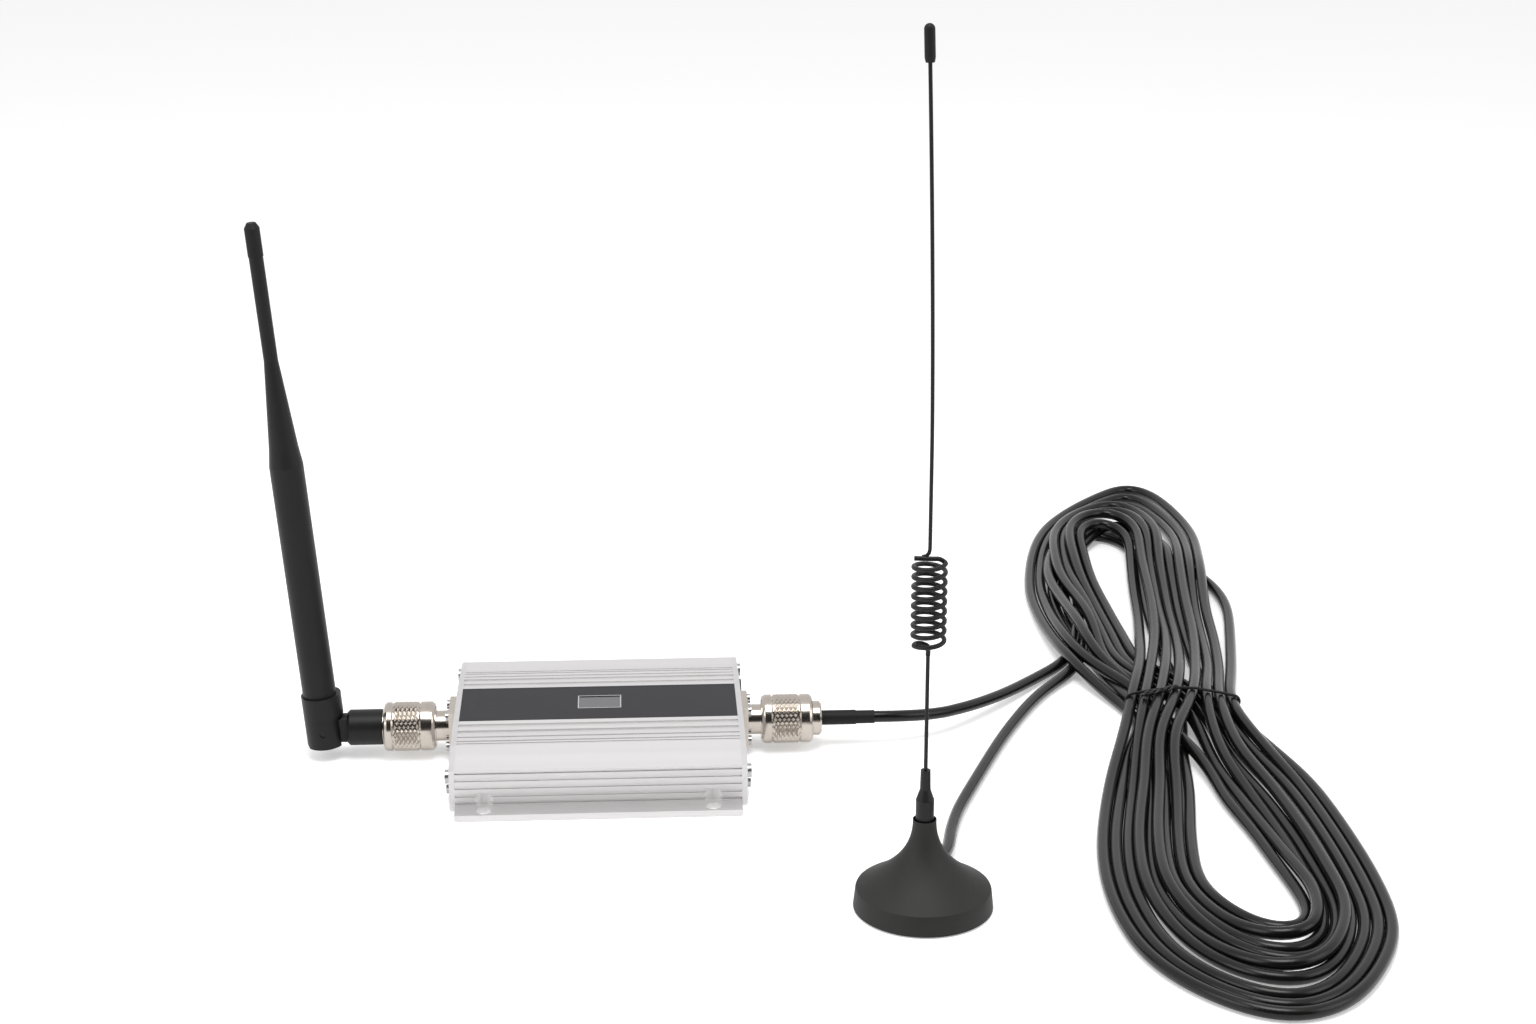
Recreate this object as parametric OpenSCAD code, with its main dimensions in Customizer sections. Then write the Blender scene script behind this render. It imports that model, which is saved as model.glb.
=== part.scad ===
// Cellular signal booster with an indoor whip antenna, a cable and a magnetic-base antenna.
// Origin: centre of the booster's underside. +X runs along the connectors, +Z is up.

/* [Booster housing] */
// Length of the housing extrusions between the end plates
box_len = 110; // [95:1:140]
// Width over the walls of the cover
box_w = 111; // [100:1:130]
// Width over the two mounting flanges
flange_w = 130; // [126:1:150]
// Thickness of the base plate and its flanges
base_t = 2.4; // [2:0.1:3]
// Height of the top edge of the side walls
wall_top = 16.7; // [16:0.1:18]
// Height of the inner edge of the sloping bands
slope_top = 19.6; // [19:0.1:21]
// Height of the lips beside the display panel
box_h = 20.7; // [20.5:0.1:22]
// Half width of the ribbed top between the sloping bands
rib_half_w = 38; // [36:0.5:40]
// Wall thickness of the cover
wall = 1.6; // [1.2:0.1:1.8]
// Width of the display panel
panel_w = 33.4; // [28:0.1:36]
// Thickness of the display panel
panel_t = 0.8; // [0.6:0.1:1]
// Thickness of the end plates
end_t = 2.2; // [1.6:0.1:3]
// Height of the lower edge of the end plates
end_low = 0.4; // [0.2:0.1:0.8]
// Distance between the mounting holes along the housing
mount_dx = 87.8; // [70:0.1:90]
// Diameter of the mounting holes
mount_d = 6.4; // [4:0.1:6.6]

/* [Connectors] */
// Height of the connector axis
conn_z = 12; // [11.8:0.1:12.2]
// Side of the square jack flange
jack_flange = 17.6; // [17:0.1:18]
// Thickness of the jack flange
jack_flange_t = 2.4; // [1.6:0.1:2.6]
// Diameter over the jack's thread
jack_thread_d = 15.6; // [15.4:0.1:15.8]
// Diameter of the smooth neck behind the thread
jack_neck_d = 12.1; // [11:0.1:13]
// Outer diameter of the coupling nut
nut_d = 20; // [19.6:0.1:21]
// Length of the coupling nut
nut_len = 20.4; // [19:0.1:22]
// Diameter of the plug body behind the nut
plug_d = 13.8; // [13:0.1:14.2]

/* [Indoor antenna] */
// Diameter of the swivel barrel
barrel_d = 14.3; // [14:0.1:15]
// Distance of the tilt pin from the centre of the housing
pin_x = 109.6; // [109.4:0.1:111]
// Diameter of the tilt pin
pin_d = 2.5; // [2:0.1:3]
// Thickness of the barrel's tongue
tongue_t = 6.8; // [5:0.1:7]
// Lean of the whip away from the housing at rest, in degrees
whip_lean = 4.7; // [2:0.1:8]
// Diameter of the wide part of the sheath
sheath_d = 13.2; // [12.6:0.1:13.4]
// Distance from the pin to the top of the wide part
sheath_wide = 111; // [90:1:125]
// Length of the taper above the wide part
sheath_taper = 42; // [30:1:60]
// Diameter of the thin part of the sheath
thin_d = 5.5; // [5:0.1:6]
// Distance from the pin to the seam below the tip cap
sheath_end = 194; // [185:1:210]
// Length of the tip cap
tip_len = 13; // [10:0.5:16]

/* [Outdoor antenna] */
// Diameter of the magnetic base
foot_d = 50; // [44:1:56]
// Height of the rim of the base
foot_rim = 7.9; // [7.5:0.1:9]
// Height of the neck of the base
foot_neck = 34.1; // [32:0.1:36]
// Diameter of the neck of the base
neck_d = 8.4; // [8:0.1:9]
// Diameter of the whip wire
wire_d = 1.4; // [1.2:0.1:1.6]
// Outer diameter of the loading coil
coil_d = 12.7; // [11:0.1:14]
// Turns of the loading coil
coil_turns = 8.5; // [6.5:1:9.5]
// Height of the tip of the outdoor antenna
outdoor_h = 314.2; // [290:1:330]

/* [Cable] */
// Diameter of the cable
cable_d = 4.8; // [4.4:0.1:5]
// Height of the tied hank
hank_h = 16; // [14:0.5:20]

/* [Hidden] */
$fn = 64;

// clearances
run_fit = 0.08;   // radial clearance of turning fits
slip = 0.05;      // clearance of parts pushed together
part_gap = 0.3;   // gap between neighbouring parts
eps = 0.01;

// housing
in_half_w = box_w / 2 - wall;
panel_floor = box_h - panel_t - 0.1;
roof = panel_floor - 1.55;
groove_d = 0.5;
rail_t = 1.8;
rail_h = 3.6;
port_r = 3.1;
port_hole_r = 1.5;
cover_port = [box_w / 2 - 4.3, 12.6];
base_port = [44, 5.2];
screw_head_r = 2.7;
screw_head_h = 1.6;
screw_len = 8;
mount_y = (box_w + flange_w) / 4 + 0.4;
spot_r = 6.1;
spot_h = 5;
face_x = box_len / 2 + end_t;
window = [16.5, 12];
window_x = 0.3;
window_y = 0.9;
window_t = 0.5;

// inside the housing
board_top = conn_z - 1.5;
board_t = 1.6;
board = [box_len - 18, 84];
stand_r = 3;
stand_at = [board[0] / 2 - 6, 36.5];
dc_y = 34;
dc_z = 9.4;
dc_r = 5;
dc_bore_r = 3.1;
dc_flange_r = 5.8;
dc_out = 1.2;
dc_depth = 9;

// connector stations, measured outwards from the end plate's face
neck_end = face_x + 7.7;
thread_end = neck_end + 9.5;
nut_start = neck_end + 0.3;
nut_end = nut_start + nut_len;
gasket_t = 1.2;
shoulder = thread_end + gasket_t;
ring_start = shoulder + 0.6;
ring_t = 1.2;
ring_end = ring_start + ring_t;
nut_wall_x = ring_end + part_gap;
jack_bore_r = 4.3;
sleeve_r = 4.1;
sleeve_in_r = 3.5;
contact_r = 1.5;
contact_bore_r = 0.85;
centre_pin_r = 0.8;
plug_pin_start = face_x + 8.3;
plug_pin_end = shoulder + 4.4;
jack_screw_at = 6.35;

// indoor antenna
plug_face = nut_end + 0.4;
barrel_start = plug_face + part_gap;
barrel_end = pin_x - 9.4;
spigot_r = 4.6;
spigot_len = 9;
tongue_r = 5.85;
knuckle_r = 7.4;
knuckle_low = 6.7;
knuckle_round = 9.1;
slot_r = tongue_r + part_gap;
cup_r = 7.9;
cup_shift = 0.5;
cup_start = 6;
cup_end = 14.8;
socket_start = 8;
cap_d = 5.9;
sheath_wall = 1.3;

// outdoor antenna
foot_at = [115.7, -143.6];
rim_draft = 0.6;
foot_wall = 2;
rim_round = 0.9;
flare_power = 1.8;
flare_steps = 14;
relief_angle = 71.3;
relief_z = 4.6;
relief_start = foot_d / 2 - 3;
relief_end = foot_d / 2 + 6;
pad_t = 0.9;
magnet_t = 5;
plate_t = 1.2;
stud_r = 2;
ferrule = [[3.26, 7.4], [1.9, 11.4], [1.75, 18.7]];
coil_low = 100.4;
coil_high = 131.9;
bend_start = 170;
bend_off = -3.5;
wire_sides = 8;
tip_r = 1.83;
tip_cap_len = 12.6;

// cable
lay_z = 2.5;
cable_sides = 10;
plug_back = nut_end + 3.6;
sleeve_long = 14;
sleeve_short = 7.5;
route_plug = [
    [plug_back, 0, conn_z], [97, 0, conn_z], [105, 0, conn_z], [112, 0, conn_z], [121.4, 1.2, 11.5],
    [134, 6, 10], [147.5, 15.5, 8], [161, 30, 5.6], [171, 41.5, 4.2], [181, 54.5, 3],
    [192.5, 68.5, lay_z], [203, 79, lay_z]
];
relief_dir = [cos(relief_angle), sin(relief_angle)];
relief_tip = foot_at + relief_end * relief_dir;
route_base = [
    [relief_tip[0], relief_tip[1], relief_z], [129.3, -103.2, 3.8], [135, -75, 2.6],
    [144.8, -48, lay_z], [154.5, -22.5, lay_z], [163.7, 0.5, lay_z], [175, 25, lay_z],
    [187, 47, lay_z], [203, 68, lay_z]
];
hank_outline = [
    [226, -238], [212, -233], [202, -226], [192, -212], [187, -198], [185, -183], [184, -160],
    [184, -138], [185, -122], [188, -105], [192, -88], [196, -70], [200, -52], [206, -32],
    [212, -14], [214, 8], [214, 28], [207, 50], [201, 72], [198, 96], [197, 120], [198, 146],
    [200, 172], [205, 200], [213, 228], [225, 256], [243, 286], [256, 302], [266, 310],
    [275, 310], [286, 302], [290, 284], [289, 253], [287, 224], [287, 196], [287, 168],
    [284, 142], [279, 118], [274, 94], [269, 70], [266, 50], [266, 28], [266, 8], [268, -14],
    [271, -34], [275, -55], [278, -72], [280, -92], [281, -109], [281, -126], [280, -142],
    [278, -158], [276, -173], [273, -188], [268, -202], [261, -216], [250, -229], [241, -235],
    [233, -238]
];
tie_y = [15, 20];
tie_t = 0.8;
waist = [214, 266];

// ---- helpers ----

// Cylinder along +X that starts at x and is h long
module rod_x(x, r, h) {
    translate([x, 0, 0]) rotate([0, 90, 0]) cylinder(r = r, h = h);
}

// Ring along +X
module ring_x(x, r_out, r_in, h) {
    difference() {
        rod_x(x, r_out, h);
        rod_x(x - 1, r_in, h + 2);
    }
}

// Puts children on the connector axis, on the right (side 1) or the left (side -1)
module on_axis(side) {
    mirror([side > 0 ? 0 : 1, 0, 0]) translate([0, 0, conn_z]) children();
}

// Extrudes a Y-Z outline along X, centred
module profile_x(len) {
    translate([-len / 2, 0, 0]) rotate([90, 0, 90]) linear_extrude(len) children();
}

function unit(v) = v / norm(v);

// Catmull-Rom curve through the points p, with k steps in each span
function smooth_route(p, k) = let (n = len(p)) concat(
    [for (i = [0 : n - 2], s = [0 : k - 1])
        let (a = p[max(i - 1, 0)], b = p[i], c = p[i + 1], d = p[min(i + 2, n - 1)], t = s / k)
        0.5 * (2 * b + (c - a) * t + (2 * a - 5 * b + 4 * c - d) * t * t
            + (3 * b - a - 3 * c + d) * t * t * t)],
    [p[n - 1]]);

// Direction of the polyline p at point i
function heading(p, i) = unit(p[min(i + 1, len(p) - 1)] - p[max(i - 1, 0)]);

// Tube of radius r along the points p; side(i) gives a direction across the tube
module tube(p, r, sides, across) {
    n = len(p);
    rings = [for (i = [0 : n - 1])
        let (t = heading(p, i), s = unit(cross(t, across[i])), u = cross(s, t))
        for (k = [0 : sides - 1]) p[i] + r * (cos(360 * k / sides) * s + sin(360 * k / sides) * u)];
    walls = [for (i = [0 : n - 2], k = [0 : sides - 1])
        let (a = i * sides + k, b = i * sides + (k + 1) % sides)
        each [[a, b, b + sides], [a, b + sides, a + sides]]];
    first = [[for (k = [sides - 1 : -1 : 0]) k]];
    last = [[for (k = [0 : sides - 1]) (n - 1) * sides + k]];
    polyhedron(rings, concat(walls, first, last), convexity = 10);
}

// ---- housing ----

// Outline of the cover's outside, from height low up
module housing_outline(low) {
    polygon([
        [-box_w / 2, low], [box_w / 2, low], [box_w / 2, wall_top], [rib_half_w, slope_top],
        [panel_w / 2, box_h], [-panel_w / 2, box_h], [-rib_half_w, slope_top],
        [-box_w / 2, wall_top]
    ]);
}

// Grooves of one half of the top: [distance from the middle, width]
top_grooves = [[21, 3], [26.5, 3], [30.9, 1], [34.4, 1], [36.5, 0.6]];
// Grooves of the side walls: [height, width]
wall_grooves = [[3.2, 1], [6.3, 1.4], [9.6, 1.4], [12.8, 1.5], [15.5, 0.9]];

function top_height(y) = box_h - (box_h - slope_top) * (y - panel_w / 2) / (rib_half_w - panel_w / 2);

module cover_grooves() {
    for (side = [-1, 1]) {
        for (g = top_grooves) {
            translate([side * g[0] - g[1] / 2, top_height(g[0]) - groove_d]) square([g[1], 3]);
        }
        for (g = wall_grooves) {
            translate([side * box_w / 2, g[0]]) square([2 * groove_d, g[1]], center = true);
        }
    }
}

module cover_section() {
    difference() {
        housing_outline(base_t);
        polygon([
            [-in_half_w, base_t - 1], [in_half_w, base_t - 1], [in_half_w, wall_top - wall],
            [rib_half_w, roof - 0.5], [panel_w / 2, roof], [-panel_w / 2, roof],
            [-rib_half_w, roof - 0.5], [-in_half_w, wall_top - wall]
        ]);
        translate([-panel_w / 2, panel_floor]) square([panel_w, 3]);
        cover_grooves();
    }
}

module spot_faces() {
    for (sx = [-1, 1], sy = [-1, 1]) {
        translate([sx * mount_dx / 2, sy * mount_y, base_t - eps]) cylinder(r = spot_r, h = spot_h);
    }
}

module housing_cover() {
    color("#D9D9D7") difference() {
        profile_x(box_len) union() {
            cover_section();
            for (side = [-1, 1]) {
                translate([side * cover_port[0], cover_port[1]]) circle(r = port_r);
            }
        }
        for (side = [-1, 1]) {
            translate([-box_len, side * cover_port[0], cover_port[1]])
                rotate([0, 90, 0]) cylinder(r = port_hole_r, h = 2 * box_len);
        }
        spot_faces();
        translate([window_x, window_y, roof]) cube([window[0] - 1, window[1] - 1, 8], center = true);
    }
}

module housing_base() {
    color("#D4D4D2") difference() {
        profile_x(box_len) union() {
            translate([-flange_w / 2, 0]) square([flange_w, base_t]);
            for (side = [-1, 1]) {
                translate([side * (in_half_w - part_gap - rail_t / 2), base_t + rail_h / 2 - eps])
                    square([rail_t, rail_h], center = true);
                translate([side * base_port[0], base_port[1]]) circle(r = port_r);
            }
        }
        for (sx = [-1, 1], sy = [-1, 1]) {
            translate([sx * mount_dx / 2, sy * mount_y, -1]) cylinder(d = mount_d, h = base_t + 2);
        }
        for (side = [-1, 1]) {
            translate([-box_len, side * base_port[0], base_port[1]])
                rotate([0, 90, 0]) cylinder(r = port_hole_r, h = 2 * box_len);
        }
    }
}

// Places children at the four screws of one end plate
module at_end_screws() {
    for (side = [-1, 1]) {
        translate([0, side * cover_port[0], cover_port[1]]) children();
        translate([0, side * base_port[0], base_port[1]]) children();
    }
}

module end_plate(side) {
    color("#DBDBD9") mirror([side > 0 ? 0 : 1, 0, 0]) difference() {
        translate([box_len / 2 + end_t / 2, 0, 0]) profile_x(end_t) housing_outline(end_low);
        translate([0, 0, conn_z]) rod_x(box_len / 2 - 1, 5.6, end_t + 2);
        at_end_screws() rod_x(box_len / 2 - 1, 1.7, end_t + 2);
        translate([0, 0, conn_z]) for (sy = [-1, 1], sz = [-1, 1]) {
            translate([0, sy * jack_screw_at, sz * jack_screw_at])
                rod_x(box_len / 2 - 1, 1.05, end_t + 2);
        }
        if (side > 0) {
            translate([0, dc_y, dc_z]) rod_x(box_len / 2 - 1, dc_r + slip, end_t + 2);
        }
    }
}

module end_plate_left() { end_plate(-1); }

module end_plate_right() { end_plate(1); }

module end_plate_screws() {
    color("#C8C8C6") for (side = [-1, 1]) {
        mirror([side > 0 ? 0 : 1, 0, 0]) at_end_screws() difference() {
            union() {
                rod_x(face_x, screw_head_r, screw_head_h);
                rod_x(face_x + screw_head_h - screw_len, port_hole_r - slip, screw_len - eps);
            }
            for (turn = [0, 90]) {
                translate([face_x + screw_head_h, 0, 0]) rotate([turn, 0, 0])
                    cube([1.6, 0.7, 3.2], center = true);
            }
        }
    }
}

module display_panel() {
    color("#46434A") difference() {
        translate([-box_len / 2, -panel_w / 2 + slip, panel_floor])
            cube([box_len, panel_w - 2 * slip, panel_t]);
        translate([window_x, window_y, panel_floor]) cube([window[0], window[1], 4], center = true);
    }
}

module display_window() {
    color("#6E7073") translate([window_x, window_y, panel_floor + window_t / 2])
        cube([window[0] - 2 * slip, window[1] - 2 * slip, window_t], center = true);
}

module display_module() {
    color("#24324A") translate([window_x, window_y, roof - 1.5])
        cube([22, 16, 3], center = true);
}

// ---- electronics ----

module circuit_board() {
    color("#1E6B3A") difference() {
        translate([-board[0] / 2, -board[1] / 2, board_top - board_t]) cube([board[0], board[1], board_t]);
        for (sx = [-1, 1], sy = [-1, 1]) {
            translate([sx * stand_at[0], sy * stand_at[1], 0]) cylinder(r = 1.6, h = 2 * board_top);
        }
    }
}

module board_standoffs() {
    color("#C9A44A") for (sx = [-1, 1], sy = [-1, 1]) {
        translate([sx * stand_at[0], sy * stand_at[1], base_t]) difference() {
            cylinder(r = stand_r, h = board_top - board_t - base_t);
            translate([0, 0, 1]) cylinder(r = 1.25, h = board_top);
        }
    }
}

module board_screws() {
    color("#C8C8C6") for (sx = [-1, 1], sy = [-1, 1]) {
        translate([sx * stand_at[0], sy * stand_at[1], board_top]) {
            cylinder(r = 2.4, h = 1.5);
            translate([0, 0, -5]) cylinder(r = 1.2, h = 5 + eps);
        }
    }
}

module shield_cans() {
    color("#C9CACB") for (side = [-1, 1]) {
        translate([side * 24, -22, board_top]) difference() {
            translate([-14, -11, 0]) cube([28, 22, 4.5]);
            translate([-13.7, -10.7, -1]) cube([27.4, 21.4, 5.2]);
        }
    }
}

module band_filters() {
    color("#B9B2A0") for (side = [-1, 1]) {
        translate([side * 26 - 10, 8, board_top]) cube([20, 12, 5]);
    }
}

module amplifier_chips() {
    color("#26272A") {
        for (side = [-1, 1]) {
            translate([side * 24 - 3, -25, board_top]) cube([6, 6, 1.2]);
        }
        translate([-4, 24, board_top]) cube([8, 8, 1.6]);
    }
}

module capacitors() {
    color("#3A3F4C") for (k = [0 : 2]) {
        translate([28 - 9 * k, 28, board_top]) cylinder(r = 3.2, h = 6);
    }
}

module thermal_pad() {
    color("#8C9AA8") translate([-12, -30, base_t]) cube([24, 16, board_top - board_t - base_t]);
}

module dc_jack() {
    color("#202124") translate([0, dc_y, dc_z]) difference() {
        union() {
            rod_x(face_x - 11, dc_r, 11 + eps);
            rod_x(face_x, dc_flange_r, dc_out);
        }
        rod_x(face_x + dc_out - dc_depth, dc_bore_r, dc_depth + 1);
        rod_x(face_x - 12, 1, 8);
    }
}

module dc_jack_pin() {
    color("#D8C9A0") translate([0, dc_y, dc_z]) rod_x(face_x - 10.95, 1 - 0.02, 11.15);
}

module dc_jack_nut() {
    color("#C8C8C6") translate([0, dc_y, dc_z])
        ring_x(box_len / 2 - 2, dc_r + 1.6, dc_r + slip, 2 - slip);
}

// ---- jacks on the end plates ----

module jack(side) {
    color("#D8CFC3") on_axis(side) difference() {
        union() {
            translate([face_x + jack_flange_t / 2, 0, 0])
                cube([jack_flange_t, jack_flange, jack_flange], center = true);
            rod_x(face_x - 5, 5.5, 5 + eps);
            rod_x(face_x, jack_neck_d / 2, neck_end - face_x + eps);
            rod_x(neck_end, jack_thread_d / 2, thread_end - neck_end);
        }
        rod_x(face_x - 6, 3, 20);
        rod_x(face_x + 8.8, jack_bore_r, 20);
        for (sy = [-1, 1], sz = [-1, 1]) {
            translate([0, sy * jack_screw_at, sz * jack_screw_at]) rod_x(face_x - 1, 1.05, 8);
        }
    }
}

module jack_left() { jack(-1); }

module jack_right() { jack(1); }

module jack_insulators() {
    color("#F2F0EA") for (side = [-1, 1]) {
        on_axis(side) ring_x(face_x - 5, 3 - slip, contact_r + slip, 13.8);
    }
}

module jack_contacts() {
    color("#D9B65C") for (side = [-1, 1]) {
        on_axis(side) difference() {
            rod_x(board[0] / 2 - 3, contact_r, face_x + 10.3 - board[0] / 2 + 3);
            rod_x(face_x + 2, contact_bore_r, 20);
        }
    }
}

module jack_screws() {
    color("#CFCFCD") for (side = [-1, 1], sy = [-1, 1], sz = [-1, 1]) {
        on_axis(side) translate([0, sy * jack_screw_at, sz * jack_screw_at]) difference() {
            union() {
                rod_x(face_x + jack_flange_t, 1.9, 1.3);
                rod_x(face_x - end_t, 1, end_t + jack_flange_t + eps);
            }
            for (turn = [0, 90]) {
                translate([face_x + jack_flange_t + 1.3, 0, 0]) rotate([turn, 0, 0])
                    cube([1.2, 0.5, 2.2], center = true);
            }
        }
    }
}

// ---- plugs ----

module coupling_nut(side) {
    color("#D8CFC3") on_axis(side) difference() {
        rod_x(nut_start, nut_d / 2, nut_len);
        rod_x(nut_start - 1, jack_thread_d / 2 + part_gap, nut_wall_x - nut_start + 1);
        rod_x(nut_start, plug_d / 2 + run_fit, 2 * nut_len);
    }
}

// Plug body from the gasket seat back to x = back
module plug_shell(back) {
    difference() {
        union() {
            rod_x(shoulder, 7.6, ring_start - shoulder + eps);
            rod_x(shoulder, 6, ring_end - shoulder + eps);
            rod_x(ring_end, plug_d / 2, back - ring_end);
            rod_x(shoulder - 7.1, sleeve_r, 7.1 + eps);
        }
        rod_x(shoulder - 8, sleeve_in_r, 8 + plug_pin_end - shoulder);
    }
}

module plug_insulator(side) {
    color("#F2F0EA") on_axis(side)
        ring_x(
            shoulder - 5.6, sleeve_in_r - slip, centre_pin_r + 0.02,
            5.6 + plug_pin_end - shoulder - slip
        );
}

module plug_pin(side) {
    color("#D9B65C") on_axis(side) rod_x(plug_pin_start, centre_pin_r, plug_pin_end - plug_pin_start);
}

module plug_gasket(side) {
    color("#B5442E") on_axis(side) ring_x(thread_end, 7.6, 5.2, gasket_t);
}

module snap_ring(side) {
    color("#BFC0C0") on_axis(side) difference() {
        ring_x(ring_start + slip, 7.7, 6 + slip, ring_t - 2 * slip);
        translate([ring_start - 1, -1, 0]) cube([4, 2, 10]);
    }
}

module indoor_nut() { coupling_nut(-1); }

module indoor_plug_body() {
    color("#D8CFC3") on_axis(-1) {
        plug_shell(plug_face);
        rod_x(plug_face - eps, spigot_r, spigot_len);
    }
}

module indoor_plug_insulator() { plug_insulator(-1); }

module indoor_plug_pin() { plug_pin(-1); }

module indoor_gasket() { plug_gasket(-1); }

module indoor_snap_ring() { snap_ring(-1); }

module cable_nut() { coupling_nut(1); }

module cable_plug_body() {
    color("#D8CFC3") on_axis(1) {
        plug_shell(plug_back - 0.8);
        translate([plug_back - 0.8 - eps, 0, 0]) rotate([0, 90, 0])
            cylinder(r1 = plug_d / 2, r2 = plug_d / 2 - 0.8, h = 0.8 + eps);
    }
}

module cable_plug_insulator() { plug_insulator(1); }

module cable_plug_pin() { plug_pin(1); }

module cable_gasket() { plug_gasket(1); }

module cable_snap_ring() { snap_ring(1); }

module cable_shrink_sleeves() {
    color("#1E1E1E") on_axis(1) {
        ring_x(plug_back, 2.97, cable_d / 2 + slip, sleeve_long);
        ring_x(plug_back + sleeve_long, 2.68, cable_d / 2 + slip, sleeve_short);
    }
}

// ---- indoor antenna ----

module indoor_barrel() {
    color("#2B2A29") on_axis(-1) difference() {
        union() {
            rod_x(barrel_start, barrel_d / 2, barrel_end - barrel_start - 1);
            translate([barrel_end - 1 - eps, 0, 0]) rotate([0, 90, 0])
                cylinder(r1 = barrel_d / 2, r2 = barrel_d / 2 - 1, h = 1 + eps);
            intersection() {
                union() {
                    rod_x(barrel_end - 2, tongue_r, pin_x - barrel_end + 2);
                    translate([pin_x, 0, 0])
                        rotate([90, 0, 0]) cylinder(r = tongue_r, h = 20, center = true);
                }
                translate([pin_x - 10, -tongue_t / 2, -10]) cube([30, tongue_t, 20]);
            }
        }
        rod_x(barrel_start - 1, spigot_r + run_fit, spigot_len + 1);
        translate([pin_x, 0, 0])
            rotate([90, 0, 0]) cylinder(d = pin_d + 2 * run_fit, h = 20, center = true);
    }
}

// Frame of the whip: the pin is the origin, +Z runs up the leaning whip, +X faces the housing
module whip_frame() {
    translate([-pin_x, 0, conn_z]) rotate([0, -whip_lean, 0]) children();
}

module across_y(d, h) {
    rotate([90, 0, 0]) cylinder(d = d, h = h, center = true);
}

module indoor_knuckle() {
    slot_w = tongue_t + 2 * part_gap;
    color("#2B2A29") whip_frame() difference() {
        union() {
            intersection() {
                translate([0, 0, -knuckle_low]) cylinder(r = knuckle_r, h = knuckle_low + cup_start + 3);
                union() {
                    across_y(2 * knuckle_round, 40);
                    translate([-20, -20, 0]) cube([40, 40, 20]);
                }
            }
            translate([cup_shift, 0, cup_start]) cylinder(r = cup_r, h = cup_end - cup_start);
        }
        across_y(2 * slot_r, slot_w);
        translate([0, -slot_w / 2, -20]) cube([20, slot_w, 20 + slot_r]);
        translate([-slot_r, -slot_w / 2, -20]) cube([20, slot_w, 20]);
        translate([0, 0, socket_start]) cylinder(d = sheath_d + 2 * slip, h = 20);
        across_y(pin_d + 0.04, 40);
    }
}

module indoor_hinge_pin() {
    color("#8A8A88") whip_frame() across_y(pin_d, 2 * knuckle_r - 1);
}

module indoor_sheath() {
    thin_r = thin_d / 2;
    wide_r = sheath_d / 2;
    top = sheath_wide + sheath_taper;
    color("#2B2A29") whip_frame() rotate_extrude() polygon([
        [wide_r - sheath_wall, socket_start], [wide_r, socket_start], [wide_r, sheath_wide],
        [wide_r - 0.9, sheath_wide + 7], [thin_r + 0.35, top - 4], [thin_r, top],
        [thin_r, sheath_end], [thin_r - sheath_wall, sheath_end], [thin_r - sheath_wall, top - 2],
        [wide_r - sheath_wall, sheath_wide - 2]
    ]);
}

module indoor_tip_cap() {
    cap_r = cap_d / 2;
    color("#232322") whip_frame() translate([0, 0, sheath_end + slip]) {
        cylinder(r = cap_r, h = tip_len - 2);
        translate([0, 0, tip_len - 2 - eps]) cylinder(r1 = cap_r, r2 = cap_r - 1.2, h = 2);
    }
}

module indoor_radiator() {
    color("#C9A44A") whip_frame() {
        translate([0, 0, socket_start]) cylinder(d = sheath_d - 2 * sheath_wall - 2 * slip, h = 3);
        translate([0, 0, socket_start]) cylinder(r = 3, h = 80);
        translate([0, 0, socket_start]) cylinder(r = 1, h = sheath_end - socket_start - 2);
    }
}

// ---- cable ----

function up_dirs(n) = [for (i = [1 : n]) [0, 0, 1]];

module cord(route) {
    p = smooth_route(route, 2);
    color("#2A2A29") tube(p, cable_d / 2, cable_sides, up_dirs(len(p)));
}

module cord_lead_plug() { cord(route_plug); }

module cord_lead_base() { cord(route_base); }

module cord_hank() {
    color("#2A2A29") linear_extrude(hank_h) polygon(hank_outline);
}

module hank_tie() {
    color("#1B1B1B") difference() {
        translate([waist[0] - tie_t, tie_y[0], 2])
            cube([waist[1] - waist[0] + 2 * tie_t, tie_y[1] - tie_y[0], hank_h - 2 + tie_t]);
        translate([waist[0], tie_y[0] - 1, 0])
            cube([waist[1] - waist[0], tie_y[1] - tie_y[0] + 2, hank_h]);
    }
}

// ---- outdoor antenna ----

module at_foot() {
    translate([foot_at[0], foot_at[1], 0]) children();
}

// Radius of the flare at fraction f of the way from the rim to the neck
function flare_r(f, r0, r1) = r1 + (r0 - r1) * pow(1 - f, flare_power);

function flare(r0, r1, z0, z1) = [for (k = [0 : flare_steps])
    let (f = k / flare_steps) [flare_r(f, r0, r1), z0 + (z1 - z0) * f]];

module relief_bore(r) {
    translate([0, 0, relief_z]) rotate([0, 0, relief_angle])
        rod_x(relief_start - 4, r, relief_end - relief_start + 8);
}

module foot_housing() {
    rim_r = foot_d / 2 - rim_draft;
    top_r = rim_r - rim_round;
    inner_r = foot_d / 2 - foot_wall;
    inner_h = magnet_t + plate_t + pad_t + slip;
    color("#3A3A39") at_foot() difference() {
        rotate_extrude() polygon(concat(
            [[stud_r + 0.1, inner_h], [inner_r, inner_h], [inner_r, 0], [foot_d / 2, 0],
             [rim_r, foot_rim - rim_round / 2]],
            flare(top_r, neck_d / 2, foot_rim, foot_neck),
            [[stud_r + 0.1, foot_neck]]));
        relief_bore(3.6);
    }
}

module foot_pad() {
    color("#232323") at_foot() cylinder(r = foot_d / 2 - foot_wall - 0.1, h = pad_t);
}

module foot_magnet() {
    color("#4A4A4C") at_foot() translate([0, 0, pad_t]) difference() {
        cylinder(r = foot_d / 2 - foot_wall - 4, h = magnet_t);
        translate([0, 0, -1]) cylinder(r = 8, h = magnet_t + 2);
    }
}

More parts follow.
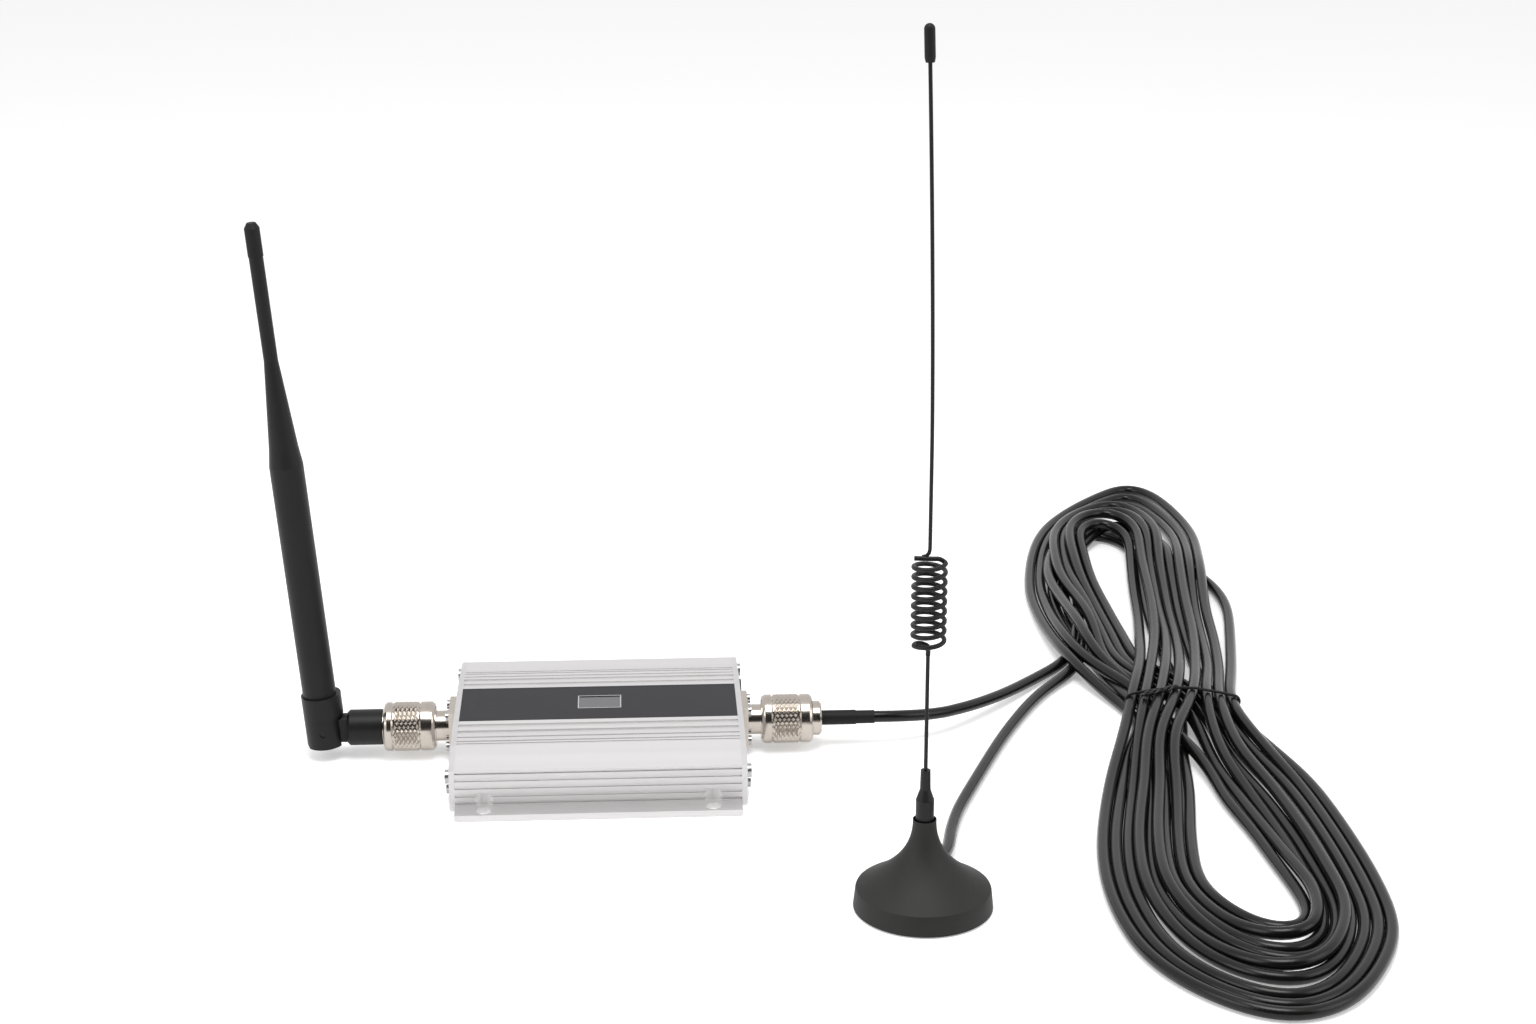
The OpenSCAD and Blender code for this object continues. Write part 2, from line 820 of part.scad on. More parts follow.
module foot_plate() {
    color("#B8B8B6") at_foot() translate([0, 0, pad_t + magnet_t]) difference() {
        cylinder(r = foot_d / 2 - foot_wall - 4, h = plate_t);
        translate([0, 0, -1]) cylinder(r = stud_r + slip, h = plate_t + 2);
    }
}

module foot_stud() {
    low = pad_t + magnet_t;
    color("#C9A44A") at_foot() {
        translate([0, 0, low - 1.5]) cylinder(r = 4, h = 1.5);
        translate([0, 0, low - eps]) cylinder(r = stud_r, h = foot_neck + 6 - low);
    }
}

module foot_strain_relief() {
    color("#2E2E2D") at_foot() translate([0, 0, relief_z]) rotate([0, 0, relief_angle])
        translate([relief_start, 0, 0]) rotate([0, 90, 0])
            cylinder(r1 = 3.5, r2 = 3, h = relief_end - relief_start);
}

module whip_ferrule() {
    color("#2B2B2A") at_foot() translate([0, 0, foot_neck + slip]) difference() {
        rotate_extrude() polygon([
            [0, 0], [ferrule[0][0], 0], ferrule[0], ferrule[1], ferrule[2], [0, ferrule[2][1]]
        ]);
        translate([0, 0, -1]) cylinder(r = stud_r + run_fit, h = 7.4);
        translate([0, 0, 9]) cylinder(r = wire_d / 2 + slip, h = 20);
    }
}

// Sideways offset of the whip at height z: it leans gently near its tip
function bend(z) = bend_off * pow(max(0, z - bend_start) / (outdoor_h - bend_start), 1.5);

coil_r = (coil_d - wire_d) / 2;
coil_steps = 12;
lead_steps = 4;
wire_low = foot_neck + 9.2;
coil_pitch = (coil_high - coil_low) / coil_turns;

// Points of the wire as [point, direction across it]
function coil_point(turn, r, z) = [[r * cos(360 * turn), r * sin(360 * turn), z],
    [cos(360 * turn), sin(360 * turn), 0]];

wire_points = concat(
    [for (z = [wire_low, coil_low - 2]) coil_point(0, 0, z)],
    [for (k = [0 : lead_steps - 1]) let (f = k / lead_steps)
        coil_point(f / 2 - 0.5, coil_r * f, coil_low + (f - 1) * 1)],
    [for (k = [0 : coil_steps * coil_turns]) let (turn = k / coil_steps)
        coil_point(turn, coil_r, coil_low + coil_pitch * turn)],
    [for (k = [lead_steps - 1 : -1 : 0]) let (f = k / lead_steps)
        coil_point(coil_turns + (1 - f) / 2, coil_r * f, coil_high + (1 - f) * 1)],
    [for (z = [coil_high + 3, bend_start, 200, 225, 250, 275, 295, outdoor_h - 2])
        [[bend(z), 0, z], [0, 1, 0]]]);

module whip_wire() {
    color("#242424") at_foot()
        tube([for (w = wire_points) w[0]], wire_d / 2, wire_sides, [for (w = wire_points) w[1]]);
}

module whip_cap() {
    low = outdoor_h - tip_cap_len;
    slope = atan((bend(low) - bend(outdoor_h)) / tip_cap_len);
    color("#1F1F1F") at_foot() translate([bend(low), 0, low]) rotate([0, -slope, 0]) difference() {
        union() {
            cylinder(r1 = tip_r - 0.3, r2 = tip_r, h = 1.5);
            translate([0, 0, 1.5 - eps]) cylinder(r = tip_r, h = tip_cap_len - 1.5 - tip_r);
            translate([0, 0, tip_cap_len - tip_r]) sphere(r = tip_r);
        }
        translate([0, 0, -1]) cylinder(r = wire_d / 2 + 0.25, h = tip_cap_len);
    }
}

housing_cover();
housing_base();
end_plate_left();
end_plate_right();
end_plate_screws();
display_panel();
display_window();
display_module();
circuit_board();
board_standoffs();
board_screws();
shield_cans();
band_filters();
amplifier_chips();
capacitors();
thermal_pad();
dc_jack();
dc_jack_pin();
dc_jack_nut();
jack_left();
jack_right();
jack_insulators();
jack_contacts();
jack_screws();
indoor_nut();
indoor_plug_body();
indoor_plug_insulator();
indoor_plug_pin();
indoor_gasket();
indoor_snap_ring();
indoor_barrel();
indoor_knuckle();
indoor_hinge_pin();
indoor_sheath();
indoor_tip_cap();
indoor_radiator();
cable_nut();
cable_plug_body();
cable_plug_insulator();
cable_plug_pin();
cable_gasket();
cable_snap_ring();
cable_shrink_sleeves();
cord_lead_plug();
cord_lead_base();
cord_hank();
hank_tie();
foot_housing();
foot_pad();
foot_magnet();
foot_plate();
foot_stud();
foot_strain_relief();
whip_ferrule();
whip_wire();
whip_cap();
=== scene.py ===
"""Looks of the cellular signal booster: housing, indoor whip, magnetic whip and its tied cable.

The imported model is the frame. Every piece here rides on one of its bodies, in metres, with its
object at the origin and its place in its mesh.
"""

import logging
import math
from collections.abc import Iterable, Sequence
from dataclasses import dataclass, field
from enum import Enum

import bmesh
import bpy
import numpy as np
from mathutils import Matrix, Vector

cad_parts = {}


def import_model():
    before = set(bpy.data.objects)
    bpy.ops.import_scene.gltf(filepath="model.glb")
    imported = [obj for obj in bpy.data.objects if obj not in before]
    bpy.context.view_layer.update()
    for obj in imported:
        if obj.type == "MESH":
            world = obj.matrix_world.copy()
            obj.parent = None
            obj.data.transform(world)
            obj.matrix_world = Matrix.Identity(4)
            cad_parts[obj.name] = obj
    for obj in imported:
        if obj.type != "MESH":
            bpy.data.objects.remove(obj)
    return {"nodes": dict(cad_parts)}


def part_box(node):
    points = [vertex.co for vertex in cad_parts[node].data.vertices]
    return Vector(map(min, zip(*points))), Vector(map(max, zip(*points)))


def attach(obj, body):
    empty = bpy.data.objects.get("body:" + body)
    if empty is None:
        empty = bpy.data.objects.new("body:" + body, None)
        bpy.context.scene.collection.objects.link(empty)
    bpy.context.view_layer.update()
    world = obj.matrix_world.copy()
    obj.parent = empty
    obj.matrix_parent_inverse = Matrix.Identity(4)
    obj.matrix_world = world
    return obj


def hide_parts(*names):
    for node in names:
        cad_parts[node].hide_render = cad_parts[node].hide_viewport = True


log = logging.getLogger("signal_booster")

MM = 0.001
FRAME_NODES: dict[str, bpy.types.Object] = {}
Point = tuple[float, float, float]
Profile = Sequence[tuple[float, float]]


class Body(Enum):
    """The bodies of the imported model."""

    BOOSTER = "booster"
    INDOOR_NUT = "indoor_nut"
    BARREL = "indoor_barrel"
    INDOOR_WHIP = "indoor_whip"
    CABLE_NUT = "cable_nut"
    OUTDOOR_WHIP = "outdoor_whip"


class Axis(Enum):
    """The axis that a turned piece is spun about."""

    X = (1.0, 0.0, 0.0)
    Z = (0.0, 0.0, 1.0)


class Grain(Enum):
    """How a surface was made, which sets the direction of its fine marks."""

    MOULDED = (1.0, 1.0, 1.0)
    EXTRUDED_ALONG_X = (0.02, 1.0, 1.0)
    DRAWN_UPRIGHT = (1.0, 1.0, 0.06)
    TURNED_ALONG_X = (1.0, 0.12, 0.12)


# ---------------------------------------------------------------- colours and nodes


def srgb(code: str) -> tuple[float, float, float, float]:
    """Turns an sRGB hex colour into a linear colour.

    Args:
        code: six hex digits after a hash.

    Returns:
        Linear red, green, blue and an alpha of 1.
    """
    parts = [int(code[i : i + 2], 16) / 255 for i in (1, 3, 5)]
    red, green, blue = (p / 12.92 if p <= 0.04045 else ((p + 0.055) / 1.055) ** 2.4 for p in parts)
    return red, green, blue, 1.0


def add_node(
    tree: bpy.types.NodeTree,
    kind: str,
    settings: dict[str, object] | None = None,
    links: dict[str, bpy.types.NodeSocket] | None = None,
) -> bpy.types.Node:
    """Adds one shader node.

    Args:
        tree: the node tree that it goes into.
        kind: the node's type name.
        settings: values by input name, or by attribute name where no input has it.
        links: output sockets by the name of the input that each one feeds.

    Returns:
        The new node.
    """
    node = tree.nodes.new(kind)
    for name, value in (settings or {}).items():
        if name in node.inputs:
            node.inputs[name].default_value = value
        else:
            setattr(node, name, value)
    for name, socket in (links or {}).items():
        tree.links.new(socket, node.inputs[name])
    return node


@dataclass(frozen=True)
class Finish:
    """One surface finish: a colour that wanders a little, a roughness, and fine marks in relief.

    Attributes:
        name: the material's name, for what it is made of.
        colour: base colour, sRGB hex.
        shade: the second colour that the mottling runs to, sRGB hex.
        roughness: lowest and highest roughness.
        metallic: 1 for bare metal.
        ior: index of refraction of what isn't metal.
        grain: direction of the fine marks.
        grain_mm: spacing of the fine marks.
        relief_mm: height of the fine marks.
        mottle_mm: size of the slow changes of colour.
        coat: weight of a clear coat.
        specular: how much of the usual mirror reflection a surface gives back, 0.5 being all.
    """

    name: str
    colour: str
    shade: str
    roughness: tuple[float, float]
    metallic: float = 0.0
    ior: float = 1.5
    grain: Grain = Grain.MOULDED
    grain_mm: float = 0.5
    relief_mm: float = 0.01
    mottle_mm: float = 12.0
    coat: float = 0.0
    specular: float = 0.5

    def material(self) -> bpy.types.Material:
        """Builds the finish as a node material, once.

        Returns:
            The material.
        """
        known = bpy.data.materials.get(self.name)
        if known is not None:
            return known
        material = bpy.data.materials.new(self.name)
        material.use_nodes = True
        tree = material.node_tree
        shader = tree.nodes["Principled BSDF"]
        shader.inputs["Metallic"].default_value = self.metallic
        if self.metallic == 0.0:
            shader.inputs["IOR"].default_value = self.ior
            shader.inputs["Specular IOR Level"].default_value = self.specular
        if self.coat > 0.0:
            shader.inputs["Coat Weight"].default_value = self.coat
            shader.inputs["Coat Roughness"].default_value = 0.12
        place = add_node(tree, "ShaderNodeTexCoord").outputs["Object"]
        lines = add_node(
            tree, "ShaderNodeMapping", {"Scale": self.grain.value}, {"Vector": place}
        ).outputs["Vector"]
        fine, slow = (
            add_node(
                tree, "ShaderNodeTexNoise",
                {"Scale": 1.0 / (size * MM), "Detail": detail, "Roughness": rough},
                {"Vector": lines},
            ).outputs["Fac"]
            for size, detail, rough in ((self.grain_mm, 3.0, 0.6), (self.mottle_mm, 2.0, 0.5))
        )
        tone = add_node(
            tree, "ShaderNodeMix", {"data_type": "RGBA"},
            {"Factor": self.pattern(tree, place, slow)},
        )
        tone.inputs[6].default_value = srgb(self.colour)
        tone.inputs[7].default_value = srgb(self.shade)
        tree.links.new(tone.outputs[2], shader.inputs["Base Color"])
        low, high = self.roughness
        spread = add_node(
            tree, "ShaderNodeMapRange", {"To Min": low, "To Max": high}, {"Value": fine}
        )
        tree.links.new(spread.outputs["Result"], shader.inputs["Roughness"])
        bump = add_node(
            tree, "ShaderNodeBump", {"Strength": 1.0, "Distance": self.relief_mm * MM},
            {"Height": fine},
        )
        tree.links.new(bump.outputs["Normal"], shader.inputs["Normal"])
        return material

    def pattern(
        self, tree: bpy.types.NodeTree, place: bpy.types.NodeSocket, slow: bpy.types.NodeSocket
    ) -> bpy.types.NodeSocket:
        """Gives the mix from colour to shade; a plain finish only mottles.

        Args:
            tree: the material's node tree.
            place: the place on the piece.
            slow: the slow changes of colour.

        Returns:
            The mix, from 0 for the colour to 1 for the shade.
        """
        return slow


@dataclass(frozen=True)
class BoardFinish(Finish):
    """Solder-masked glass laminate, with copper tracks that show through the mask.

    Attributes:
        track_mm: spacing of the tracks.
    """

    track_mm: float = 2.5

    def pattern(
        self, tree: bpy.types.NodeTree, place: bpy.types.NodeSocket, slow: bpy.types.NodeSocket
    ) -> bpy.types.NodeSocket:
        """Draws the tracks as the mortar of a brick pattern, for the same mix."""
        tracks = add_node(
            tree, "ShaderNodeTexBrick",
            {
                "Scale": 1.0,
                "Brick Width": 4 * self.track_mm * MM,
                "Row Height": self.track_mm * MM,
                "Mortar Size": 0.14 * self.track_mm * MM,
            },
            {"Vector": place},
        )
        return tracks.outputs["Fac"]


class Finishes:
    """Every finish of the object, each named for what it is made of."""

    # extruded aluminium, bead blasted and clear anodised: pale, with fine die lines along the length
    EXTRUSION = Finish(
        "clear_anodised_extrusion", "#DBD9D9", "#CDCBCC", (0.48, 0.64), metallic=1.0,
        grain=Grain.EXTRUDED_ALONG_X, grain_mm=0.5, relief_mm=0.04, mottle_mm=9.0,
    )
    # the end plates are cut from sheet of the same alloy and blasted, so they have no lines
    END_SHEET = Finish(
        "clear_anodised_sheet", "#D6D4D4", "#C9C7C8", (0.45, 0.58), metallic=1.0,
        grain_mm=0.3, relief_mm=0.012, mottle_mm=7.0,
    )
    # bright line printed round the window
    LINE = Finish(
        "pale_grey_print", "#B4B4B7", "#A9A9AD", (0.4, 0.5),
        grain_mm=0.3, relief_mm=0.002, mottle_mm=3.0,
    )
    # zinc-plated steel screws, slightly blue
    SCREW = Finish(
        "zinc_plated_steel", "#B7B7B8", "#9C9D9F", (0.24, 0.36), metallic=1.0,
        grain_mm=0.4, relief_mm=0.004, mottle_mm=2.0,
    )
    # back-printed polyester overlay in graphite: satin, with a very fine texture
    PANEL = Finish(
        "graphite_polyester_overlay", "#232125", "#28262B", (0.36, 0.46), ior=1.58,
        grain_mm=0.3, relief_mm=0.004, mottle_mm=14.0, specular=0.1,
    )
    # smoked clear window in the same overlay, glossier
    WINDOW = Finish(
        "smoked_window_film", "#4A494D", "#424145", (0.16, 0.24), ior=1.58,
        grain_mm=1.5, relief_mm=0.001, mottle_mm=8.0, coat=0.4, specular=0.3,
    )
    # tone-on-tone marks printed beside the window
    PRINT = Finish(
        "graphite_print", "#37343A", "#343137", (0.4, 0.5),
        grain_mm=0.3, relief_mm=0.002, mottle_mm=3.0, specular=0.1,
    )
    # bright nickel on turned brass: a warm white metal with faint turning marks
    NICKEL = Finish(
        "nickel_plated_brass", "#BEB7AF", "#ADA59C", (0.14, 0.24), metallic=1.0,
        grain=Grain.TURNED_ALONG_X, grain_mm=0.5, relief_mm=0.005, mottle_mm=3.0,
    )
    # gold flash on the contacts
    GOLD = Finish(
        "gold_flashed_brass", "#E0B765", "#CFA24F", (0.18, 0.28), metallic=1.0,
        grain_mm=0.3, relief_mm=0.002, mottle_mm=2.0,
    )
    # turned bead of white fluoropolymer, waxy
    FLUOROPOLYMER = Finish(
        "white_fluoropolymer", "#EDEDE8", "#E2E2DC", (0.4, 0.5), ior=1.36,
        grain_mm=0.3, relief_mm=0.004, mottle_mm=2.0,
    )
    # silicone gasket, brick red and matt
    SILICONE = Finish(
        "red_silicone", "#9C3B2C", "#8A3226", (0.5, 0.6), ior=1.41,
        grain_mm=0.4, relief_mm=0.006, mottle_mm=2.0,
    )
    # phosphor bronze and spring steel, lightly drawn
    SPRING = Finish(
        "drawn_spring_steel", "#A8A9AB", "#909295", (0.26, 0.36), metallic=1.0,
        grain_mm=0.3, relief_mm=0.003, mottle_mm=2.0,
    )
    # soft black elastomer moulded over the whip: satin, smooth to the touch
    ANTENNA = Finish(
        "satin_black_elastomer", "#101010", "#181717", (0.38, 0.48),
        grain_mm=0.45, relief_mm=0.01, mottle_mm=18.0, specular=0.22,
    )
    # harder black rubber of the end caps and the foot pad
    RUBBER = Finish(
        "black_rubber", "#101010", "#171717", (0.5, 0.62),
        grain_mm=0.5, relief_mm=0.012, mottle_mm=5.0, specular=0.22,
    )
    # spark-eroded ABS moulding of the magnetic base: matt black with a visible grain
    FOOT = Finish(
        "spark_eroded_abs", "#1C1C1B", "#242423", (0.52, 0.66), ior=1.54,
        grain_mm=0.55, relief_mm=0.035, mottle_mm=10.0, specular=0.25,
    )
    # powder-coated spring wire of the magnetic whip
    WHIP = Finish(
        "black_powder_coat", "#101011", "#181819", (0.36, 0.48),
        grain=Grain.DRAWN_UPRIGHT, grain_mm=0.4, relief_mm=0.006, mottle_mm=9.0, specular=0.25,
    )
    # plasticised PVC cable jacket: black, half glossy, a little uneven from the extruder
    JACKET = Finish(
        "pvc_cable_jacket", "#0B0B0B", "#121211", (0.2, 0.3), ior=1.53,
        grain_mm=0.9, relief_mm=0.012, mottle_mm=26.0, specular=0.26,
    )
    # heat-shrunk polyolefin: duller than the jacket
    SHRINK = Finish(
        "black_polyolefin_sleeve", "#101010", "#171717", (0.5, 0.62), ior=1.51,
        grain_mm=0.6, relief_mm=0.02, mottle_mm=5.0, specular=0.2,
    )
    # flat plastic-coated twist tie
    TIE = Finish(
        "black_twist_tie", "#0E0E0E", "#161616", (0.34, 0.46),
        grain_mm=0.5, relief_mm=0.02, mottle_mm=4.0, specular=0.3,
    )
    # glass-epoxy board with a green mask
    BOARD = BoardFinish(
        "green_solder_mask", "#1E5B39", "#3E8657", (0.28, 0.36), ior=1.52,
        grain_mm=0.3, relief_mm=0.003,
    )
    # hot-tinned steel, slightly cloudy
    TINNED = Finish(
        "tinned_steel", "#C9CACA", "#B4B6B7", (0.3, 0.42), metallic=1.0,
        grain_mm=1.2, relief_mm=0.006, mottle_mm=5.0,
    )
    # fired ceramic of the band filters
    CERAMIC = Finish(
        "silvered_ceramic", "#D9D4C8", "#CBC5B8", (0.36, 0.46), ior=1.62,
        grain_mm=0.4, relief_mm=0.006, mottle_mm=4.0,
    )
    # epoxy moulding compound of the chips
    CHIP = Finish(
        "epoxy_moulding_compound", "#27272A", "#2E2E31", (0.5, 0.6), ior=1.55,
        grain_mm=0.25, relief_mm=0.008, mottle_mm=4.0,
    )
    # drawn aluminium cans of the capacitors
    CAN = Finish(
        "drawn_aluminium_can", "#C8CACC", "#B9BBBE", (0.22, 0.34), metallic=1.0,
        grain=Grain.DRAWN_UPRIGHT, grain_mm=0.3, relief_mm=0.004, mottle_mm=3.0,
    )
    # filled silicone pad that carries the heat
    THERMAL = Finish(
        "filled_silicone_pad", "#8FA2B4", "#8597A9", (0.6, 0.7), ior=1.45,
        grain_mm=0.5, relief_mm=0.02, mottle_mm=4.0,
    )
    # black moulded nylon of the inlet and of the display's frame
    NYLON = Finish(
        "black_nylon", "#121213", "#19191A", (0.4, 0.5), ior=1.53,
        grain_mm=0.4, relief_mm=0.01, mottle_mm=4.0, specular=0.25,
    )
    # turned brass of the studs and the antenna's inner conductor
    BRASS = Finish(
        "turned_brass", "#C8A75C", "#B69449", (0.24, 0.36), metallic=1.0,
        grain_mm=0.4, relief_mm=0.005, mottle_mm=3.0,
    )
    # sintered ferrite, dark and dull
    FERRITE = Finish(
        "sintered_ferrite", "#4A4A4C", "#414143", (0.55, 0.68), ior=1.9,
        grain_mm=0.6, relief_mm=0.015, mottle_mm=4.0,
    )


# ---------------------------------------------------------------- shaping


def turned(profile: Profile, axis: Axis, centre: Point, steps: int = 72) -> bmesh.types.BMesh:
    """Spins an outline about an axis into a closed piece.

    Args:
        profile: distance along the axis and radius of each corner, in millimetres. A first or
            last radius of 0 closes that end, and a profile that returns to its start is a ring.
        axis: the direction of the axis.
        centre: a point on the axis, in millimetres.
        steps: how many steps the turn takes.

    Returns:
        A mesh in metres.
    """
    bm = bmesh.new()
    out = Vector((0.0, 0.0, 1.0)) if axis is Axis.X else Vector((1.0, 0.0, 0.0))
    along = Vector(axis.value)
    ring = profile[0] == profile[-1]
    corners = [bm.verts.new(along * s + out * r) for s, r in (profile[:-1] if ring else profile)]
    pairs = list(zip(corners, corners[1:]))
    if ring:
        pairs.append((corners[-1], corners[0]))
    edges = [bm.edges.new(pair) for pair in pairs]
    bmesh.ops.spin(
        bm, geom=corners + edges, cent=(0.0, 0.0, 0.0), axis=along, dvec=(0.0, 0.0, 0.0),
        angle=2 * math.pi, steps=steps, use_merge=True, use_normal_flip=False, use_duplicate=False,
    )
    bmesh.ops.remove_doubles(bm, verts=bm.verts, dist=1e-4)
    bmesh.ops.recalc_face_normals(bm, faces=bm.faces)
    bmesh.ops.transform(
        bm, matrix=Matrix.Scale(MM, 4) @ Matrix.Translation(Vector(centre)), verts=bm.verts
    )
    return bm


def block(low: Point, high: Point) -> bmesh.types.BMesh:
    """Makes a box between two corners.

    Args:
        low: lowest corner in millimetres.
        high: highest corner in millimetres.

    Returns:
        A mesh in metres.
    """
    bm = bmesh.new()
    bmesh.ops.create_cube(bm, size=1.0)
    size = Vector(high) - Vector(low)
    middle = (Vector(high) + Vector(low)) / 2
    bmesh.ops.scale(bm, vec=size * MM, verts=bm.verts)
    bmesh.ops.translate(bm, vec=middle * MM, verts=bm.verts)
    return bm


def join(meshes: Iterable[bmesh.types.BMesh]) -> bmesh.types.BMesh:
    """Puts several meshes into one.

    Args:
        meshes: what is joined. Each one is freed.

    Returns:
        The mesh that holds them all.
    """
    whole = bmesh.new()
    for bm in meshes:
        held = bpy.data.meshes.new("held")
        bm.to_mesh(held)
        bm.free()
        whole.from_mesh(held)
        bpy.data.meshes.remove(held)
    return whole


def settle(obj: bpy.types.Object, finish: Finish, body: Body, slot: str, *nodes: str) -> None:
    """Gives a finished piece its material, its body and the CAD nodes that it stands for.

    Args:
        obj: the piece, in its place.
        finish: its finish.
        body: the body that it rides on.
        slot: the record's material slot that the finish belongs to; not used.
        nodes: the CAD nodes that it replaces.
    """
    obj.data.materials.clear()
    obj.data.materials.append(finish.material())
    if nodes:
        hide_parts(*nodes)
    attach(obj, body.value)
    log.info("%s rides on %s and stands for %s", obj.name, body.value, nodes or "no node")


def piece(name: str, bm: bmesh.types.BMesh, smooth: float = 32.0) -> bpy.types.Object:
    """Turns a mesh into an object at the origin.

    Args:
        name: the piece's name.
        bm: its mesh, which is freed.
        smooth: edges up to this angle, in degrees, are shaded smooth.

    Returns:
        The object.
    """
    mesh = bpy.data.meshes.new(name)
    bm.to_mesh(mesh)
    bm.free()
    mesh.shade_smooth()
    mesh.set_sharp_from_angle(angle=math.radians(smooth))
    obj = bpy.data.objects.new(name, mesh)
    bpy.context.scene.collection.objects.link(obj)
    return obj


def thread_line(
    name: str, points: Iterable[Sequence[float]], radius: float, rings: int = 3
) -> bpy.types.Object:
    """Sweeps a round section along points, as one curve with closed ends.

    Args:
        name: the piece's name.
        points: the centreline in millimetres.
        radius: radius of the section in millimetres.
        rings: bevel resolution; the section has four sides for each step and four more.

    Returns:
        The curve object.
    """
    places = np.asarray(list(points), dtype=float) * MM
    curve = bpy.data.curves.new(name, "CURVE")
    curve.dimensions = "3D"
    curve.bevel_depth = radius * MM
    curve.bevel_resolution = rings
    curve.use_fill_caps = True
    curve.twist_mode = "MINIMUM"
    spline = curve.splines.new("POLY")
    spline.points.add(len(places) - 1)
    spline.points.foreach_set("co", np.column_stack([places, np.ones(len(places))]).ravel())
    spline.use_smooth = True
    obj = bpy.data.objects.new(name, curve)
    bpy.context.scene.collection.objects.link(obj)
    return obj


def swept(points: Iterable[Sequence[float]], radius: float, rings: int = 3) -> bmesh.types.BMesh:
    """Sweeps a round section along points as a mesh.

    Args:
        points: the centreline in millimetres.
        radius: radius of the section in millimetres.
        rings: bevel resolution of the section.

    Returns:
        The mesh in metres.
    """
    obj = thread_line("sweep", points, radius, rings)
    bpy.context.view_layer.update()
    held = bpy.data.meshes.new_from_object(obj.evaluated_get(bpy.context.evaluated_depsgraph_get()))
    bm = bmesh.new()
    bm.from_mesh(held)
    bmesh.ops.remove_doubles(bm, verts=bm.verts, dist=1e-6)
    curve = obj.data
    bpy.data.objects.remove(obj)
    bpy.data.curves.remove(curve)
    bpy.data.meshes.remove(held)
    return bm


def smooth_route(route: Sequence[Sequence[float]], step: float) -> np.ndarray:
    """Runs a Catmull-Rom curve through the points of a route.

    Args:
        route: the points, in millimetres.
        step: spacing of the points given back.

    Returns:
        Evenly spaced points on the curve.
    """
    given = np.asarray(route, dtype=float)
    last = len(given) - 1
    rows = []
    for i in range(last):
        a, b, c, d = given[max(i - 1, 0)], given[i], given[i + 1], given[min(i + 2, last)]
        count = max(2, round(float(np.linalg.norm(c - b)) / (0.8 * step)))
        t = (np.arange(count) / count)[:, None]
        rows.append(
            0.5 * (2 * b + (c - a) * t + (2 * a - 5 * b + 4 * c - d) * t**2 + (3 * b - a - 3 * c + d) * t**3)
        )
    rows.append(given[-1:])
    dense = np.concatenate(rows)
    reach = np.concatenate([[0.0], np.cumsum(np.linalg.norm(np.diff(dense, axis=0), axis=1))])
    even = np.linspace(0.0, reach[-1], round(reach[-1] / step) + 1)
    return np.stack([np.interp(even, reach, dense[:, k]) for k in range(3)], axis=1)


# ---------------------------------------------------------------- stage


